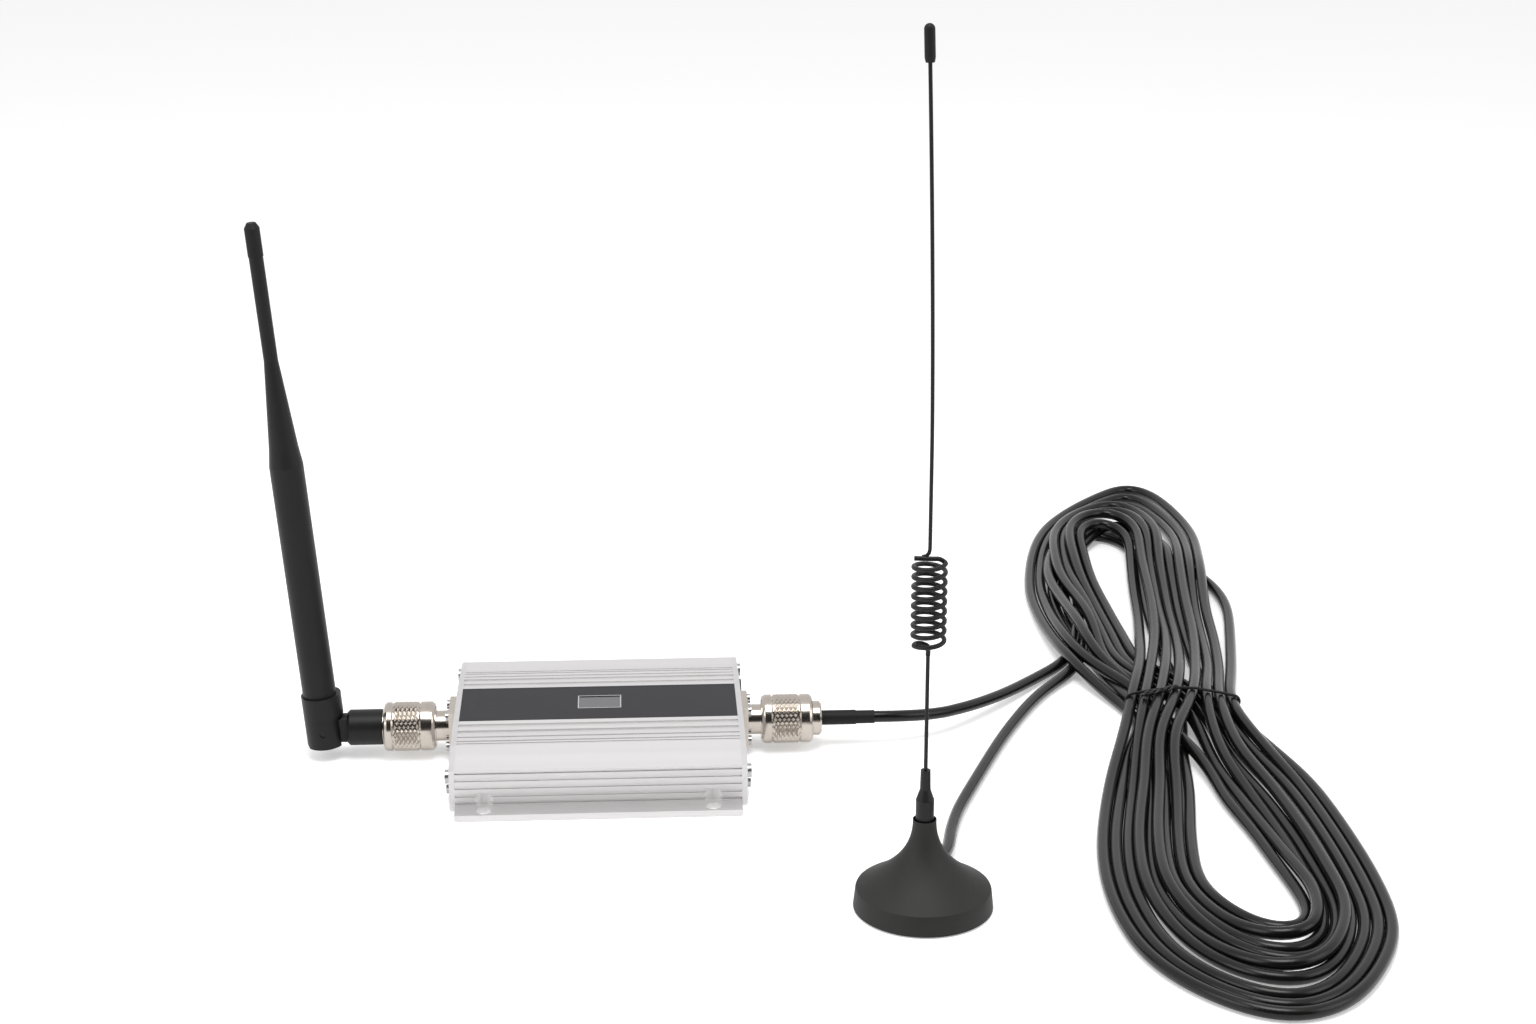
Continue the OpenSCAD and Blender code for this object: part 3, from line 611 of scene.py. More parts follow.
@dataclass
class Studio:
    """The pale floor, the soft light and the camera.

    Attributes:
        eye: camera position in metres.
        pitch: how far the camera looks down, in degrees.
        yaw: how far it turns from +Y towards +X, in degrees.
        lens: focal length in millimetres on a sensor 36 mm wide.
    """

    eye: Point = (0.013312, -1.043451, 0.459238)
    pitch: float = 18.973
    yaw: float = 2.992
    lens: float = 65.98

    def build(self) -> None:
        """Makes the camera, the world, the lamps, the floor and the dark card."""
        self.camera()
        self.world()
        self.lamps()
        self.floor()
        self.dark_card()

    def camera(self) -> None:
        """Stands the camera at the viewing angle."""
        data = bpy.data.cameras.new("view")
        data.sensor_width = 36.0
        data.lens = self.lens
        data.clip_start = 0.05
        obj = bpy.data.objects.new("view", data)
        obj.location = self.eye
        obj.rotation_euler = (math.radians(90 - self.pitch), 0.0, math.radians(-self.yaw))
        bpy.context.scene.collection.objects.link(obj)
        bpy.context.scene.camera = obj

    def world(self) -> None:
        """Gives the object an even light, and the eye and reflections a white surround."""
        world = bpy.data.worlds.new("studio")
        bpy.context.scene.world = world
        world.use_nodes = True
        tree = world.node_tree
        tree.nodes.clear()
        seen = self.seen_rays(tree)
        strength = add_node(
            tree, "ShaderNodeMapRange", {"To Min": 0.62, "To Max": 1.0}, {"Value": seen}
        ).outputs["Result"]
        light = add_node(
            tree, "ShaderNodeBackground", {"Color": (1.0, 1.0, 1.0, 1.0)}, {"Strength": strength}
        )
        add_node(tree, "ShaderNodeOutputWorld", links={"Surface": light.outputs[0]})

    def seen_rays(self, tree: bpy.types.NodeTree) -> bpy.types.NodeSocket:
        """Picks out the rays that come from the eye, from gloss and through glass.

        Args:
            tree: the node tree.

        Returns:
            A value that is 1 on those rays and 0 on the others.
        """
        path = add_node(tree, "ShaderNodeLightPath").outputs
        seen = path["Is Camera Ray"]
        for ray in ("Is Glossy Ray", "Is Transmission Ray"):
            either = add_node(tree, "ShaderNodeMath", {"operation": "MAXIMUM"})
            tree.links.new(seen, either.inputs[0])
            tree.links.new(path[ray], either.inputs[1])
            seen = either.outputs[0]
        return seen

    def lamps(self) -> None:
        """Hangs one wide lamp overhead and two weaker ones at the sides."""
        for name, power, size, place, aim in (
            ("top_lamp", 9.0, 0.6, (0.05, -0.35, 1.2), (0.08, 0.0, 0.0)),
            ("left_lamp", 5.0, 0.8, (-1.1, -0.7, 0.8), (0.0, 0.0, 0.05)),
            ("right_lamp", 3.0, 0.8, (1.2, -0.5, 0.7), (0.1, 0.0, 0.05)),
        ):
            data = bpy.data.lights.new(name, "AREA")
            data.energy = power
            data.size = size
            obj = bpy.data.objects.new(name, data)
            obj.location = place
            turn = Vector(aim) - Vector(place)
            obj.rotation_euler = turn.to_track_quat("-Z", "Y").to_euler()
            bpy.context.scene.collection.objects.link(obj)

    def floor(self) -> None:
        """Lays the floor, which looks white and keeps the object's shadow."""
        bm = bmesh.new()
        bmesh.ops.create_grid(bm, x_segments=1, y_segments=1, size=6.0)
        bmesh.ops.translate(bm, vec=(0.0, 0.0, -0.0004), verts=bm.verts)
        obj = piece("floor", bm)
        material = bpy.data.materials.new("white_paper_sweep")
        material.use_nodes = True
        tree = material.node_tree
        tree.nodes.clear()
        paper = add_node(tree, "ShaderNodeBsdfDiffuse", {"Color": srgb("#F4F4F4")})
        glow = add_node(
            tree, "ShaderNodeEmission", {"Color": (1.0, 1.0, 1.0, 1.0), "Strength": 0.32}
        )
        lit = add_node(tree, "ShaderNodeAddShader")
        tree.links.new(paper.outputs[0], lit.inputs[0])
        tree.links.new(glow.outputs[0], lit.inputs[1])
        choose = add_node(tree, "ShaderNodeMixShader")
        tree.links.new(self.seen_rays(tree), choose.inputs[0])
        tree.links.new(paper.outputs[0], choose.inputs[1])
        tree.links.new(lit.outputs[0], choose.inputs[2])
        add_node(tree, "ShaderNodeOutputMaterial", links={"Surface": choose.outputs[0]})
        obj.data.materials.append(material)

    def dark_card(self) -> None:
        """Stands a dark card behind the camera, seen only as dark bands in bright metal."""
        bm = block((-1500, -1720, 40), (1500, -1700, 2300))
        obj = piece("dark_card", bm)
        material = bpy.data.materials.new("black_felt")
        material.use_nodes = True
        felt = material.node_tree.nodes["Principled BSDF"]
        felt.inputs["Base Color"].default_value = srgb("#202020")
        felt.inputs["Roughness"].default_value = 0.9
        obj.data.materials.append(material)
        obj.visible_camera = False
        obj.visible_shadow = False
        obj.visible_diffuse = False


# ---------------------------------------------------------------- cable and hank


@dataclass
class CableRun:
    """The feed cable: from the magnetic base into the tied hank and out again to its plug.

    The hank lies in nine lower turns and ten upper ones, which all pass through the tie. The last
    upper turn but one strays from its loop, and the first and the last one lie under the others.

    Attributes:
        diameter: diameter of the jacket.
        step: spacing of the points along the cable.
        rounds: how many steps the settling takes.
        let_go: how much of each lead's end may settle with the hank.
        tie_y: where the tie sits along the hank.
        tie_x: left and right limits of the waist inside the tie, at the cable's centre.
        tie_top: highest place of the cable's centre in the waist.
        beside: what lies left of this place doesn't run through the tie.
        tie_wire: radius of the tie.
        line: the settled centreline.
    """

    diameter: float = 4.8
    step: float = 3.6
    rounds: int = 300
    let_go: float = 30.0
    tie_y: float = 18.0
    tie_x: tuple[float, float] = (217.0, 262.5)
    tie_top: float = 13.4
    beside: float = 205.0
    tie_wire: float = 0.6

    # the two leads, with the same points as the model's own routes
    base_lead: tuple[Point, ...] = (
        (125.64, -114.24, 4.6), (129.3, -103.2, 3.8), (135, -75, 2.6), (144.8, -48, 2.5),
        (154.5, -22.5, 2.5), (163.7, 0.5, 2.5), (175, 25, 2.5), (187, 47, 2.5), (203, 68, 2.5),
    )
    plug_lead: tuple[Point, ...] = (
        (89.2, 0, 12), (97, 0, 12), (105, 0, 12), (112, 0, 12), (121.4, 1.2, 11.5), (134, 6, 10),
        (147.5, 15.5, 8), (161, 30, 5.6), (171, 41.5, 4.2), (181, 54.5, 3), (192.5, 68.5, 2.5),
        (203, 79, 2.5),
    )
    # inner and outer course of each loop, from the tie round to the tie, seen from above
    lower: tuple[tuple[tuple[float, float], tuple[float, float]], ...] = (
        ((232, -20), (210.4, -20)), ((227.4, -57), (201.4, -57)), ((220, -100), (191.7, -100)),
        ((215.5, -135), (186.6, -138)), ((221, -153), (187.2, -172)), ((230, -166), (193, -197)),
        ((239, -172.5), (206.5, -219.5)), ((247.5, -172.5), (226, -233.6)),
        ((253, -166), (244, -227.5)), ((254.5, -155), (258.5, -210)), ((253.5, -142), (272.5, -179)),
        ((249.5, -120), (275.8, -149)), ((246, -92), (277, -108)), ((241.5, -66), (274.5, -56)),
        ((238, -35), (266, -18)),
    )
    upper: tuple[tuple[tuple[float, float], tuple[float, float]], ...] = (
        ((229, 60), (263, 60)), ((237.5, 100), (269, 100)), ((243, 136), (272.5, 136)),
        ((247.5, 190), (280, 190)), ((250.5, 220), (286.5, 240)), ((249.5, 231), (282, 288)),
        ((244.5, 238.5), (271, 312)), ((236.5, 241), (257, 301)), ((228.5, 237.5), (235.5, 273.5)),
        ((222.5, 222), (218.5, 237.5)), ((222, 180), (203, 174)), ((225, 142), (200, 142)),
        ((228, 108), (201, 108)), ((231, 68), (207, 68)),
    )
    stray: tuple[tuple[float, float], ...] = (
        (269, 60), (277, 100), (284, 145), (280, 180), (266, 215), (254, 245), (244, 258),
        (233, 252), (226, 232), (214, 200), (207, 172), (204, 142), (206, 108), (212, 68),
    )
    # the first and the last pass of the upper loop, on the floor below the others
    first: tuple[tuple[float, float], ...] = (
        (210, 84), (214, 112), (213, 145), (214, 178), (222, 210), (236, 236), (250, 248),
        (262, 240), (267, 212), (265, 170), (260, 130), (256, 90), (254, 55), (257.5, 18),
    )
    final: tuple[tuple[float, float], ...] = (
        (237, 18), (241, 50), (244, 100), (248, 145), (252, 190), (252, 214), (248, 231),
        (239, 240), (229, 236), (222.5, 216), (219, 180), (217, 145), (213, 117), (208, 96),
    )
    # how far out each lower turn lies, from 0 to 8, and whether its descent is on the right
    turns: tuple[tuple[float, bool], ...] = (
        (8.0, True), (6.6, True), (5.0, True), (3.3, True), (1.7, True), (2.5, False),
        (4.6, False), (7.6, False), (0.3, True),
    )
    line: np.ndarray = field(default_factory=lambda: np.zeros((0, 3)))

    def build(self) -> None:
        """Winds the cable, settles it, and makes it with its tie and sleeves."""
        start = smooth_route(self.wind(), self.step)
        self.line = self.settle_turns(start, self.rounds)
        cable = thread_line("feed_cable", self.line, self.diameter / 2)
        settle(
            cable, Finishes.JACKET, Body.BOOSTER, "cable_jacket",
            "cord_lead_plug", "cord_lead_base", "cord_hank",
        )
        self.tie()

    def pass_through(
        self,
        table: Sequence[tuple[tuple[float, float], tuple[float, float]]],
        share: float,
        wander: float,
    ) -> list[tuple[float, float]]:
        """Takes one course between the inner and the outer one, with a small wander.

        Args:
            table: inner and outer course.
            share: 0 for the inner course, 1 for the outer one.
            wander: how far it strays from an even course, in millimetres.

        Returns:
            The places of the turn.
        """
        return [
            (
                (1 - share) * a[0] + share * b[0] + wander * math.sin(1.7 * k + 3 * wander),
                (1 - share) * a[1] + share * b[1],
            )
            for k, (a, b) in enumerate(table)
        ]

    def wind(self) -> list[Point]:
        """Lays the turns one after another, before they settle.

        Returns:
            The points of the whole cable, base to plug, in millimetres.
        """
        on_floor = self.diameter / 2 + 0.2
        second_layer = 7.4
        third_layer = 12.2
        # heights on the way up to the tie and on the way down from it
        climb = (3.5, 4.5, 6.0, 8.0, 10.6)
        fall = (11.6, 10.4, 9.2, 8.2, 7.6, 7.0, 7.0, 7.0, 7.0, 6.5, 6.0, 5.5, 5.0, 4.0)
        last = len(self.turns) - 1
        path: list[Point] = list(self.base_lead)
        path.extend((x, y, on_floor) for x, y in self.first)
        for k, (out, right_first) in enumerate(self.turns):
            low = self.pass_through(self.lower, out / 8, 0.9 * math.sin(2.1 * k))
            if right_first:
                low.reverse()
            under = second_layer if k % 2 == 0 else on_floor
            if k > 0:
                path.append((220.5 + 5.0 * (last - k), self.tie_y, under))
            flat = len(low) if k == last else len(low) - len(climb)
            heights = [on_floor] * flat + list(climb)
            path.extend((x, y, z) for (x, y), z in zip(low, heights))
            if k == last:
                break
            path.append((219.0 + 5.9 * k, self.tie_y, third_layer))
            if k < last - 1:
                high = self.pass_through(self.upper, k / (last - 2), 0.8 * math.cos(1.3 * k))
                path.extend((x, y, z) for (x, y), z in zip(high, fall))
            else:
                drop = [9.0, 5.0] + [on_floor] * (len(self.stray) - 2)
                path.extend((x, y, z) for (x, y), z in zip(self.stray, drop))
        path.extend((x, y, on_floor) for x, y in self.final)
        path.extend(reversed(self.plug_lead))
        return path

    def settle_turns(self, home: np.ndarray, rounds: int) -> np.ndarray:
        """Lets the turns sink, push each other apart and be drawn together by the tie.

        Only the shift of each point is smoothed along the cable, so the loops keep their course.

        Args:
            home: the wound centreline.
            rounds: how many steps to take.

        Returns:
            The settled centreline.
        """
        reach = np.arange(len(home)) * self.step
        base, plug = (
            (len(smooth_route(lead, self.step)) - 1) * self.step - self.let_go
            for lead in (self.base_lead, self.plug_lead)
        )
        free = ((reach > base) & (reach < reach[-1] - plug)).astype(float)[:, None]
        shift = np.zeros_like(home)
        pairs = self.neighbours(home)
        for turn in range(rounds):
            place = home + shift
            if turn % 10 == 0:
                pairs = self.neighbours(place)
            shift += free * self.push_apart(place, *pairs)
            shift[:, 2] -= (0.06 if turn < 0.75 * rounds else 0.015) * free[:, 0]
            shift[:, :2] *= 0.995
            for _ in range(5):
                shift[1:-1] = 0.5 * shift[1:-1] + 0.25 * (shift[2:] + shift[:-2])
                shift *= free
            place = home + shift
            held = (np.abs(place[:, 1] - self.tie_y) < 9) & (free[:, 0] > 0)
            held &= place[:, 0] > self.beside
            place[held, 0] = np.clip(place[held, 0], *self.tie_x)
            place[held, 2] = np.minimum(place[held, 2], self.tie_top)
            lowest = np.maximum(place[:, 2], self.diameter / 2 + 0.03)
            place[:, 2] = np.where(free[:, 0] > 0, lowest, place[:, 2])
            shift = place - home
        place = home + shift
        for _ in range(14):
            even = 0.5 * place[1:-1] + 0.25 * (place[2:] + place[:-2])
            place[8:-16] = even[7:-15]
        return place

    def push_apart(
        self,
        place: np.ndarray,
        one: np.ndarray,
        two: np.ndarray,
        along_one: np.ndarray,
        along_two: np.ndarray,
    ) -> np.ndarray:
        """Works out how far passes that are pressed together move apart.

        Args:
            place: the centreline now.
            one: first point of each pair.
            two: second point of each pair.
            along_one: the first one's direction.
            along_two: the second one's direction across it.

        Returns:
            The move of each point.
        """
        apart = place[one] - place[two]
        along = (apart * along_one).sum(1)
        apart = apart - along[:, None] * along_one
        across = (apart * along_two).sum(1)
        apart = apart - across[:, None] * along_two
        gap = np.linalg.norm(apart, axis=1) + 1e-9
        near = np.clip(1.25 - np.abs(along) / self.step, 0, 1)
        near = near * np.clip(1.6 - np.abs(across) / self.step, 0, 1)
        push = np.maximum(self.diameter - gap, 0) * near
        move = apart / gap[:, None] * push[:, None] * 0.5
        count = len(place)
        total = np.stack([np.bincount(one, move[:, c], count) for c in range(3)], axis=1)
        weight = np.bincount(one, near * (push > 0), count)
        return total / np.maximum(weight, 1)[:, None] * 1.6

    def neighbours(
        self, place: np.ndarray
    ) -> tuple[np.ndarray, np.ndarray, np.ndarray, np.ndarray]:
        """Finds which points of different passes lie close together.

        Args:
            place: the centreline now.

        Returns:
            The first and second point of each pair, the first one's direction, and the second
            one's direction across it, which is nothing where the two run side by side.
        """
        run = np.gradient(place, axis=0)
        run /= np.linalg.norm(run, axis=1)[:, None]
        square = (place * place).sum(1)
        ones, twos = [], []
        batch = 600
        for first in range(0, len(place), batch):
            some = place[first : first + batch]
            far = square[first : first + batch, None] + square[None, :] - 2 * some @ place.T
            a, b = np.nonzero(far < (1.6 * self.diameter) ** 2)
            keep = np.abs(b - a - first) > 5
            ones.append(a[keep] + first)
            twos.append(b[keep])
        one, two = np.concatenate(ones), np.concatenate(twos)
        along = run[one]
        across = run[two] - (run[two] * along).sum(1)[:, None] * along
        size = np.linalg.norm(across, axis=1)
        across = np.where((size > 0.3)[:, None], across / np.maximum(size, 1e-6)[:, None], 0.0)
        return one, two, along, across

    def tie(self) -> None:
        """Wraps the twist tie round the waist and twists its ends together on top."""
        near = self.line[np.abs(self.line[:, 1] - self.tie_y) < 3]
        near = near[near[:, 0] > self.beside]
        loop = self.wrapped(near[:, [0, 2]], self.diameter / 2 + 0.55)
        # the band lies a little askew, and its ends are twisted near the middle
        left, middle = self.tie_x[0], 238.0
        band = [(x, self.tie_y - 3.0 + 0.10 * (x - left), z) for x, z in loop]
        knot = max(band, key=lambda p: p[2] - abs(p[0] - middle) * 0.2)
        strand = 0.7
        twist = [
            [
                (
                    knot[0] - 1.0 - 0.75 * k,
                    knot[1] - 0.32 * k + strand * math.cos(0.75 * k + phase),
                    knot[2] + 0.5 + strand * math.sin(0.75 * k + phase) - 0.02 * k,
                )
                for k in range(22)
            ]
            for phase in (0.0, math.pi)
        ]
        parts = [swept(line, self.tie_wire, 2) for line in (band + band[:1], *twist)]
        settle(piece("twist_tie", join(parts)), Finishes.TIE, Body.BOOSTER, "tie_black", "hank_tie")

    def wrapped(self, spots: np.ndarray, margin: float) -> list[tuple[float, float]]:
        """Stretches a loop round spots at a margin.

        Args:
            spots: the cable centres in the plane of the tie.
            margin: distance from the centres to the loop.

        Returns:
            Points of the loop, in order.
        """
        loop = []
        for step in range(96):
            angle = 2 * math.pi * step / 96
            way = np.array([math.cos(angle), math.sin(angle)])
            best = spots[int(np.argmax(spots @ way))]
            point = best + way * margin
            loop.append((float(point[0]), max(float(point[1]), 0.7)))
        dense = []
        for (x0, z0), (x1, z1) in zip(loop, loop[1:] + loop[:1]):
            count = max(1, round(math.hypot(x1 - x0, z1 - z0) / 1.5))
            dense.extend(
                (x0 + (x1 - x0) * i / count, z0 + (z1 - z0) * i / count) for i in range(count)
            )
        return dense


# ---------------------------------------------------------------- booster housing


@dataclass
class Housing:
    """The housing: its CAD shells dressed, and the marks printed on its panel.

    Attributes:
        mark_tips: where the tip of each mark beside the window is.
        mark_middle: where the row of marks lies across the housing.
        mark_reach: length of a mark along the housing.
        mark_half: half its width.
        line: width of the printed lines.
    """

    mark_tips: tuple[float, ...] = (-49.5, -44.8, -38.9, -33.3, -27.4)
    mark_middle: float = 1.8
    mark_reach: float = 4.4
    mark_half: float = 5.0
    line: float = 0.45

    def build(self) -> None:
        """Dresses the shells and prints the panel."""
        dress(Finishes.EXTRUSION, "housing_cover", "housing_base")
        dress(Finishes.END_SHEET, "end_plate_left", "end_plate_right")
        dress(Finishes.SCREW, "end_plate_screws", "board_screws", "dc_jack_nut")
        dress(Finishes.PANEL, "display_panel")
        dress(Finishes.WINDOW, "display_window")
        dress(Finishes.NYLON, "display_module", "dc_jack")
        dress(Finishes.BOARD, "circuit_board")
        dress(Finishes.BRASS, "board_standoffs")
        dress(Finishes.TINNED, "shield_cans", "foot_plate")
        dress(Finishes.CERAMIC, "band_filters")
        dress(Finishes.CHIP, "amplifier_chips")
        dress(Finishes.CAN, "capacitors")
        dress(Finishes.THERMAL, "thermal_pad")
        dress(Finishes.GOLD, "dc_jack_pin")
        self.window_line()
        self.marks()

    def window_line(self) -> None:
        """Prints the thin line round the window."""
        low, high = (np.array(c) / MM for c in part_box("display_window"))
        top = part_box("display_panel")[1][2] / MM
        w = self.line
        sides = (
            ((low[0] - w, low[1] - w), (high[0] + w, low[1])),
            ((low[0] - w, high[1]), (high[0] + w, high[1] + w)),
            ((low[0] - w, low[1]), (low[0], high[1])),
            ((high[0], low[1]), (high[0] + w, high[1])),
        )
        bars = [block((*a, top - 0.01), (*b, top + 0.03)) for a, b in sides]
        settle(piece("window_line", join(bars)), Finishes.LINE, Body.BOOSTER, "panel_film")

    def marks(self) -> None:
        """Prints the row of open arrow marks beside the window."""
        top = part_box("display_panel")[1][2] / MM
        arms = []
        for tip in self.mark_tips:
            for side in (-1, 1):
                arm = block((0.0, 0.0, top - 0.01), (self.mark_reach, 0.3, top + 0.02))
                shear = Matrix.Identity(4)
                shear[1][0] = self.mark_half / self.mark_reach * side
                bmesh.ops.transform(arm, matrix=shear, verts=arm.verts)
                bmesh.ops.translate(
                    arm, vec=(tip * MM, self.mark_middle * MM, 0.0), verts=arm.verts
                )
                bmesh.ops.recalc_face_normals(arm, faces=arm.faces)
                arms.append(arm)
        settle(piece("panel_marks", join(arms)), Finishes.PRINT, Body.BOOSTER, "panel_film")


def dress(finish: Finish, *nodes: str) -> None:
    """Puts a finish on CAD nodes that keep their own shape.

    Args:
        finish: the finish.
        nodes: the nodes' names.
    """
    for name in nodes:
        for held in FRAME_NODES[name].material_slots:
            held.material = finish.material()
        log.info("%s dressed in %s", name, finish.name)


# ---------------------------------------------------------------- connectors


@dataclass
class CouplingNut:
    """A round coupling nut with a band of diamond knurling.

    Attributes:
        name: the piece's name.
        node: the CAD node that it stands for.
        body: the body that it rides on.
        side: -1 on the left of the booster, +1 on the right.
        start: distance of its open end from the middle of the booster.
        length: its length.
        radius: its outer radius.
        knurl: start and length of the knurled band, from the open end.
        diamond: width of one diamond.
        depth: height of the diamonds.
        height: height of its axis.
    """

    name: str
    node: str
    body: Body
    side: int
    start: float = 65.2
    length: float = 20.4
    radius: float = 9.85
    knurl: tuple[float, float] = (4.4, 10.6)
    diamond: float = 1.75
    depth: float = 0.7
    height: float = 12.0

    def build(self) -> None:
        """Turns the nut and presses the knurl into it."""
        count = 2 * round(math.pi * self.radius / self.diamond)
        rows = 2 * round(self.knurl[1] / self.diamond)
        r, first, reach = self.radius, *self.knurl
        grip = [(first + reach * k / rows, r) for k in range(rows + 1)]
        # the open end, the grip between two grooves, the shoulder and back through the bore
        profile = [
            (0.0, 8.05), (0.0, 8.9), (0.35, 9.2), (1.0, r - 0.1), (1.3, r), (first - 0.7, r),
            (first - 0.35, r - 0.3), *grip, (first + reach + 0.35, r - 0.3),
            (first + reach + 0.7, r), (self.length - 1.4, r), (self.length - 0.5, r - 0.5),
            (self.length, r - 1.3), (self.length, 7.05), (self.length - 1.0, 6.98),
            (self.length - 1.0, 8.05), (0.0, 8.05),
        ]
        profile = [(self.side * (self.start + s), radius) for s, radius in profile]
        bm = turned(profile, Axis.X, (0.0, 0.0, self.height), steps=count)
        self.press_knurl(bm, count, rows)
        settle(piece(self.name, bm, 28.0), Finishes.NICKEL, self.body, "nickel", self.node)

    def press_knurl(self, bm: bmesh.types.BMesh, count: int, rows: int) -> None:
        """Raises every other corner of the grip and creases the valleys between.

        Args:
            bm: the nut's mesh.
            count: corners round the nut.
            rows: rows of faces along the grip.
        """
        first = self.start + self.knurl[0]
        pitch = self.knurl[1] / rows
        low = []
        for vert in bm.verts:
            x = abs(vert.co.x) / MM
            y, z = vert.co.y / MM, vert.co.z / MM - self.height
            row = round((x - first) / pitch)
            if abs(x - first - row * pitch) > 0.01 or not 0 <= row <= rows:
                continue
            if math.hypot(y, z) < self.radius - 0.2:
                continue
            turn = round(math.atan2(y, z) / (2 * math.pi) * count)
            raised = (row + turn) % 2 == 0 and 0 < row < rows
            radius = self.radius + (0.15 if raised else 0.15 - self.depth)
            scale = radius / math.hypot(y, z)
            vert.co.y = y * scale * MM
            vert.co.z = (z * scale + self.height) * MM
            if not raised:
                low.append(vert)
        bmesh.ops.connect_verts(bm, verts=low)


@dataclass
class Connectors:
    """The two jacks, the plugs and their nuts."""

    def build(self) -> None:
        """Dresses the jacks and plugs and makes the two nuts."""
        dress(Finishes.NICKEL, "jack_left", "jack_right", "indoor_plug_body", "cable_plug_body")
        dress(Finishes.SCREW, "jack_screws")
        dress(Finishes.FLUOROPOLYMER, "jack_insulators", "indoor_plug_insulator", "cable_plug_insulator")
        dress(Finishes.GOLD, "jack_contacts", "indoor_plug_pin", "cable_plug_pin")
        dress(Finishes.SILICONE, "indoor_gasket", "cable_gasket")
        dress(Finishes.SPRING, "indoor_snap_ring", "cable_snap_ring")
        dress(Finishes.SHRINK, "cable_shrink_sleeves")
        CouplingNut(
            "indoor_coupling_nut", "indoor_nut", Body.INDOOR_NUT, -1, knurl=(6.2, 10.4)
        ).build()
        CouplingNut("cable_coupling_nut", "cable_nut", Body.CABLE_NUT, 1).build()


# ---------------------------------------------------------------- antennas


@dataclass
class IndoorAntenna:
    """The swivelling whip on the left jack."""

    def build(self) -> None:
        """Dresses the barrel, the knuckle, the sheath and what is inside them."""
        dress(Finishes.ANTENNA, "indoor_barrel", "indoor_knuckle", "indoor_sheath")
        dress(Finishes.RUBBER, "indoor_tip_cap")
        dress(Finishes.NYLON, "indoor_hinge_pin")
        dress(Finishes.BRASS, "indoor_radiator")


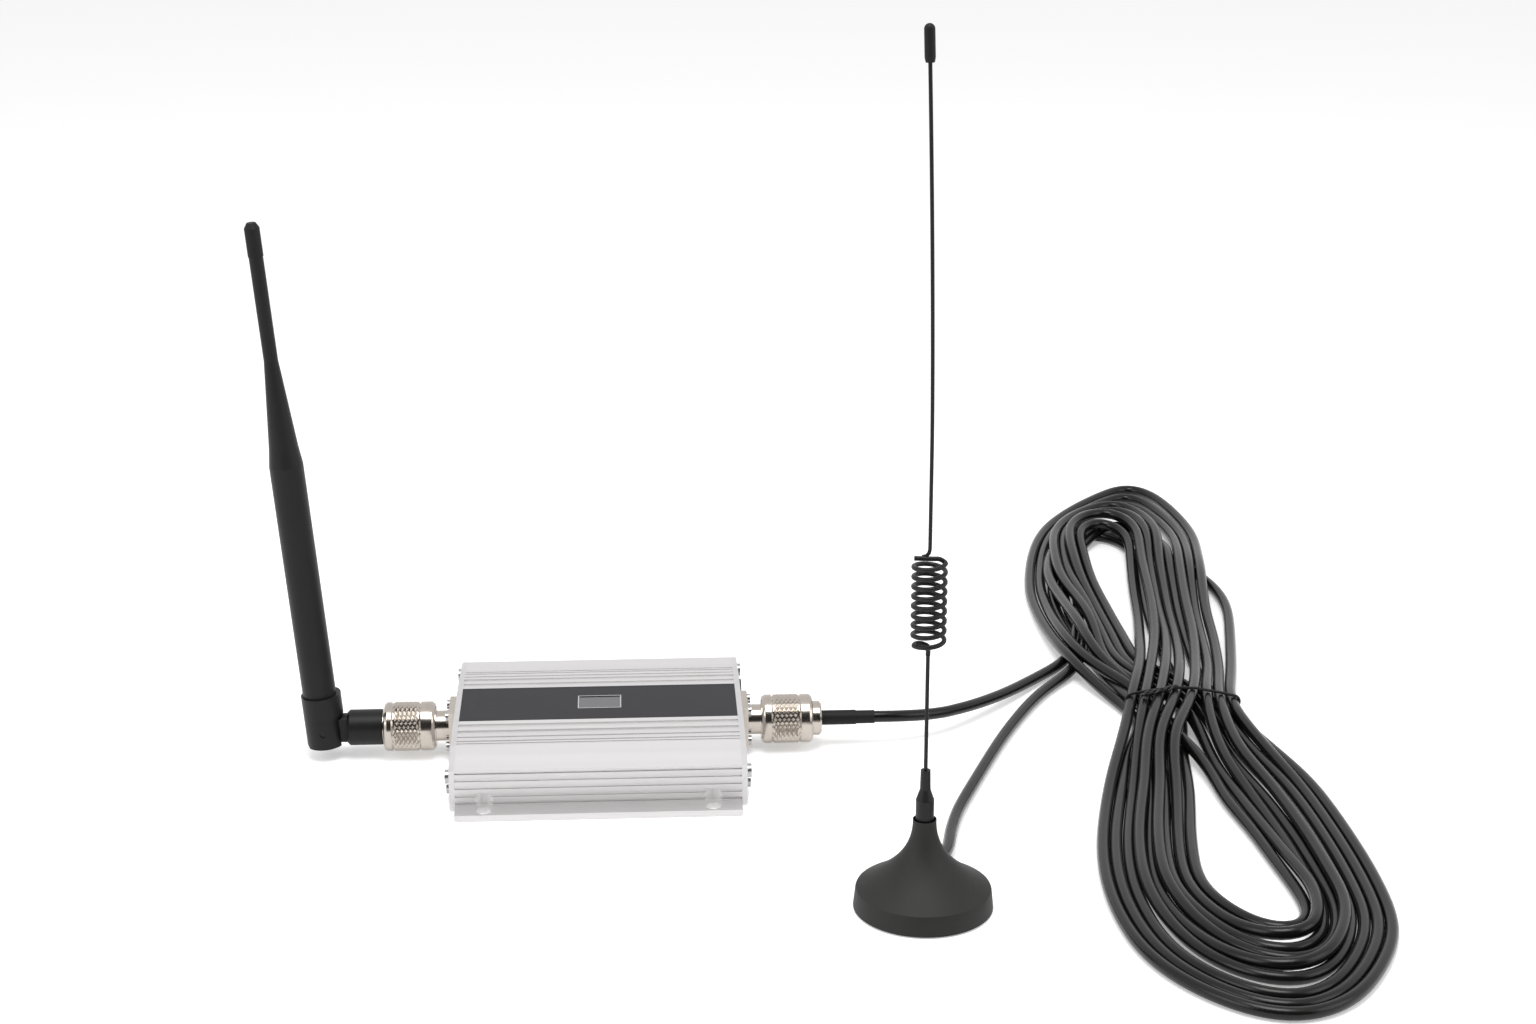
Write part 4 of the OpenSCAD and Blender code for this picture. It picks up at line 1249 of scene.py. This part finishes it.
@dataclass
class OutdoorAntenna:
    """The whip on the magnetic base, with its loading coil.

    Attributes:
        place: the axis of the base and the whip.
        wire: radius of the straight wire.
        coil_wire: radius of the wire in the coil, which its coating thickens.
        coil: radius of the coil at the wire's centre.
        bottom: height of the first turn.
        top: height of the last turn.
        turns: how many turns it has.
        tip: height of the wire's upper end, inside the cap.
        bow_from: height from which the wire bows to the left.
        bow: how far it has bowed at the cap's top, and the height of that top.
        rim: radius of the base at its rim, and the rim's height.
        neck: radius of the base's neck, and the neck's height.
        flare: how sharply the base spreads from the neck to the rim.
        recess: radius of the recess for the magnet, and its height.
        bore: radius of the bore for the stud.
    """

    place: tuple[float, float] = (115.7, -143.6)
    wire: float = 0.7
    coil_wire: float = 0.85
    coil: float = 5.5
    bottom: float = 100.4
    top: float = 131.9
    turns: float = 8.0
    tip: float = 311.0
    bow_from: float = 170.0
    bow: tuple[float, float] = (3.5, 314.2)
    rim: tuple[float, float] = (25.0, 7.9)
    neck: tuple[float, float] = (4.2, 34.1)
    flare: float = 2.35
    recess: tuple[float, float] = (23.0, 7.3)
    bore: float = 4.1

    def build(self) -> None:
        """Dresses the base and makes the whip's wires."""
        self.base()
        dress(Finishes.RUBBER, "foot_pad", "whip_cap")
        dress(Finishes.FERRITE, "foot_magnet")
        dress(Finishes.BRASS, "foot_stud")
        dress(Finishes.SHRINK, "foot_strain_relief")
        dress(Finishes.WHIP, "whip_ferrule")
        wires = [
            swept(self.lower_wire(), self.wire),
            swept(self.coil_line(), self.coil_wire),
            swept(self.upper_wire(), self.wire),
        ]
        settle(
            piece("whip_wires", join(wires), 60.0), Finishes.WHIP, Body.OUTDOOR_WHIP,
            "whip_black", "whip_wire",
        )

    def base(self) -> None:
        """Turns the bell-shaped moulding of the magnetic base."""
        rim_r, rim_h = self.rim
        neck_r, neck_h = self.neck
        recess_r, recess_h = self.recess
        steps = 26
        bell = []
        for k in range(steps + 1):
            share = (k / steps) ** 0.85
            radius = neck_r + (rim_r - 1.4 - neck_r) * (1 - share) ** self.flare
            bell.append((rim_h + (neck_h - rim_h) * share, radius))
        profile = [
            (recess_h, self.bore), (recess_h, recess_r), (0.3, recess_r), (0.0, recess_r + 0.3),
            (0.0, rim_r - 0.4), (0.3, rim_r), (rim_h - 1.0, rim_r - 0.7),
            (rim_h - 0.3, rim_r - 0.95), *bell, (neck_h, self.bore), (recess_h, self.bore),
        ]
        bm = turned(profile, Axis.Z, (*self.place, 0.0), steps=96)
        settle(
            piece("magnetic_base", bm, 24.0), Finishes.FOOT, Body.BOOSTER, "foot_black",
            "foot_housing",
        )

    def around(self, angle: float, radius: float, height: float) -> Point:
        """Gives a point round the whip's axis.

        Args:
            angle: angle from +X, in radians.
            radius: distance from the axis.
            height: height above the floor.

        Returns:
            The point in millimetres.
        """
        x, y = self.place
        return x + radius * math.cos(angle), y + radius * math.sin(angle), height

    def lower_wire(self) -> list[Point]:
        """The wire from the ferrule up to the foot of the coil.

        Returns:
            Its centreline in millimetres.
        """
        heights = (46.0, 60.0, 80.0, self.bottom - 4.0, self.bottom - 1.6)
        route = [self.around(0.0, 0.0, height) for height in heights]
        return [tuple(p) for p in smooth_route(route, 2.0)]

    def coil_line(self) -> list[Point]:
        """The coil: out from the middle into the first turn, up, and back across the top.

        Returns:
            Its centreline in millimetres.
        """
        # where the first turn starts, how far the wire turns on the way out to it, and what the
        # last turn adds to whole ones
        start, way_out, extra = (math.radians(angle) for angle in (200, 130, 150))
        lead = 9
        route = [self.around(0.0, 0.0, self.bottom - 4.5)]
        for k in range(1, lead):
            share = k / lead
            angle = start - way_out * (1 - share)
            height = self.bottom - 1.9 * (1 - share) ** 1.5
            route.append(self.around(angle, self.coil * share**0.8, height))
        steps = round(self.turns * 28)
        full = 2 * math.pi * self.turns + extra
        rise = self.top - self.bottom - 1.6
        for k in range(steps + 1):
            share = k / steps
            route.append(self.around(start + full * share, self.coil, self.bottom + rise * share))
        x, y = self.place
        for across in (0.62, 0.2, -0.3, -0.75, -0.98):
            route.append((x + self.coil * across, y - 0.4, self.top - 0.2 - 0.3 * across))
        return [tuple(p) for p in smooth_route(route, 0.9)]

    def upper_wire(self) -> list[Point]:
        """The wire above the coil, with its foot bent along the coil's end.

        Returns:
            Its centreline in millimetres.
        """
        x, y = self.place
        route = [
            (x - 2.6, y + 0.6, self.top + 0.2),
            (x - 0.9, y + 0.5, self.top + 0.6),
            (x - 0.1, y + 0.2, self.top + 2.2),
            (x, y, self.top + 5.0),
            (x, y, self.top + 15.0),
            (x, y, self.bow_from),
        ]
        aside, cap_top = self.bow
        steps = 15
        for k in range(1, steps + 1):
            rise = (self.tip - self.bow_from) * k / steps
            share = rise / (cap_top - self.bow_from)
            route.append((x - aside * share**1.5, y, self.bow_from + rise))
        return [tuple(p) for p in smooth_route(route, 1.5)]


def main() -> None:
    """Builds the object's looks and the studio."""
    logging.basicConfig(level=logging.INFO, format="%(name)s: %(message)s")
    FRAME_NODES.update(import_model()["nodes"])
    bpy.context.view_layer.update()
    bpy.context.scene.view_settings.view_transform = "Standard"
    Studio().build()
    for group in (CableRun(), Housing(), Connectors(), IndoorAntenna(), OutdoorAntenna()):
        group.build()


if __name__ == "__main__":
    main()
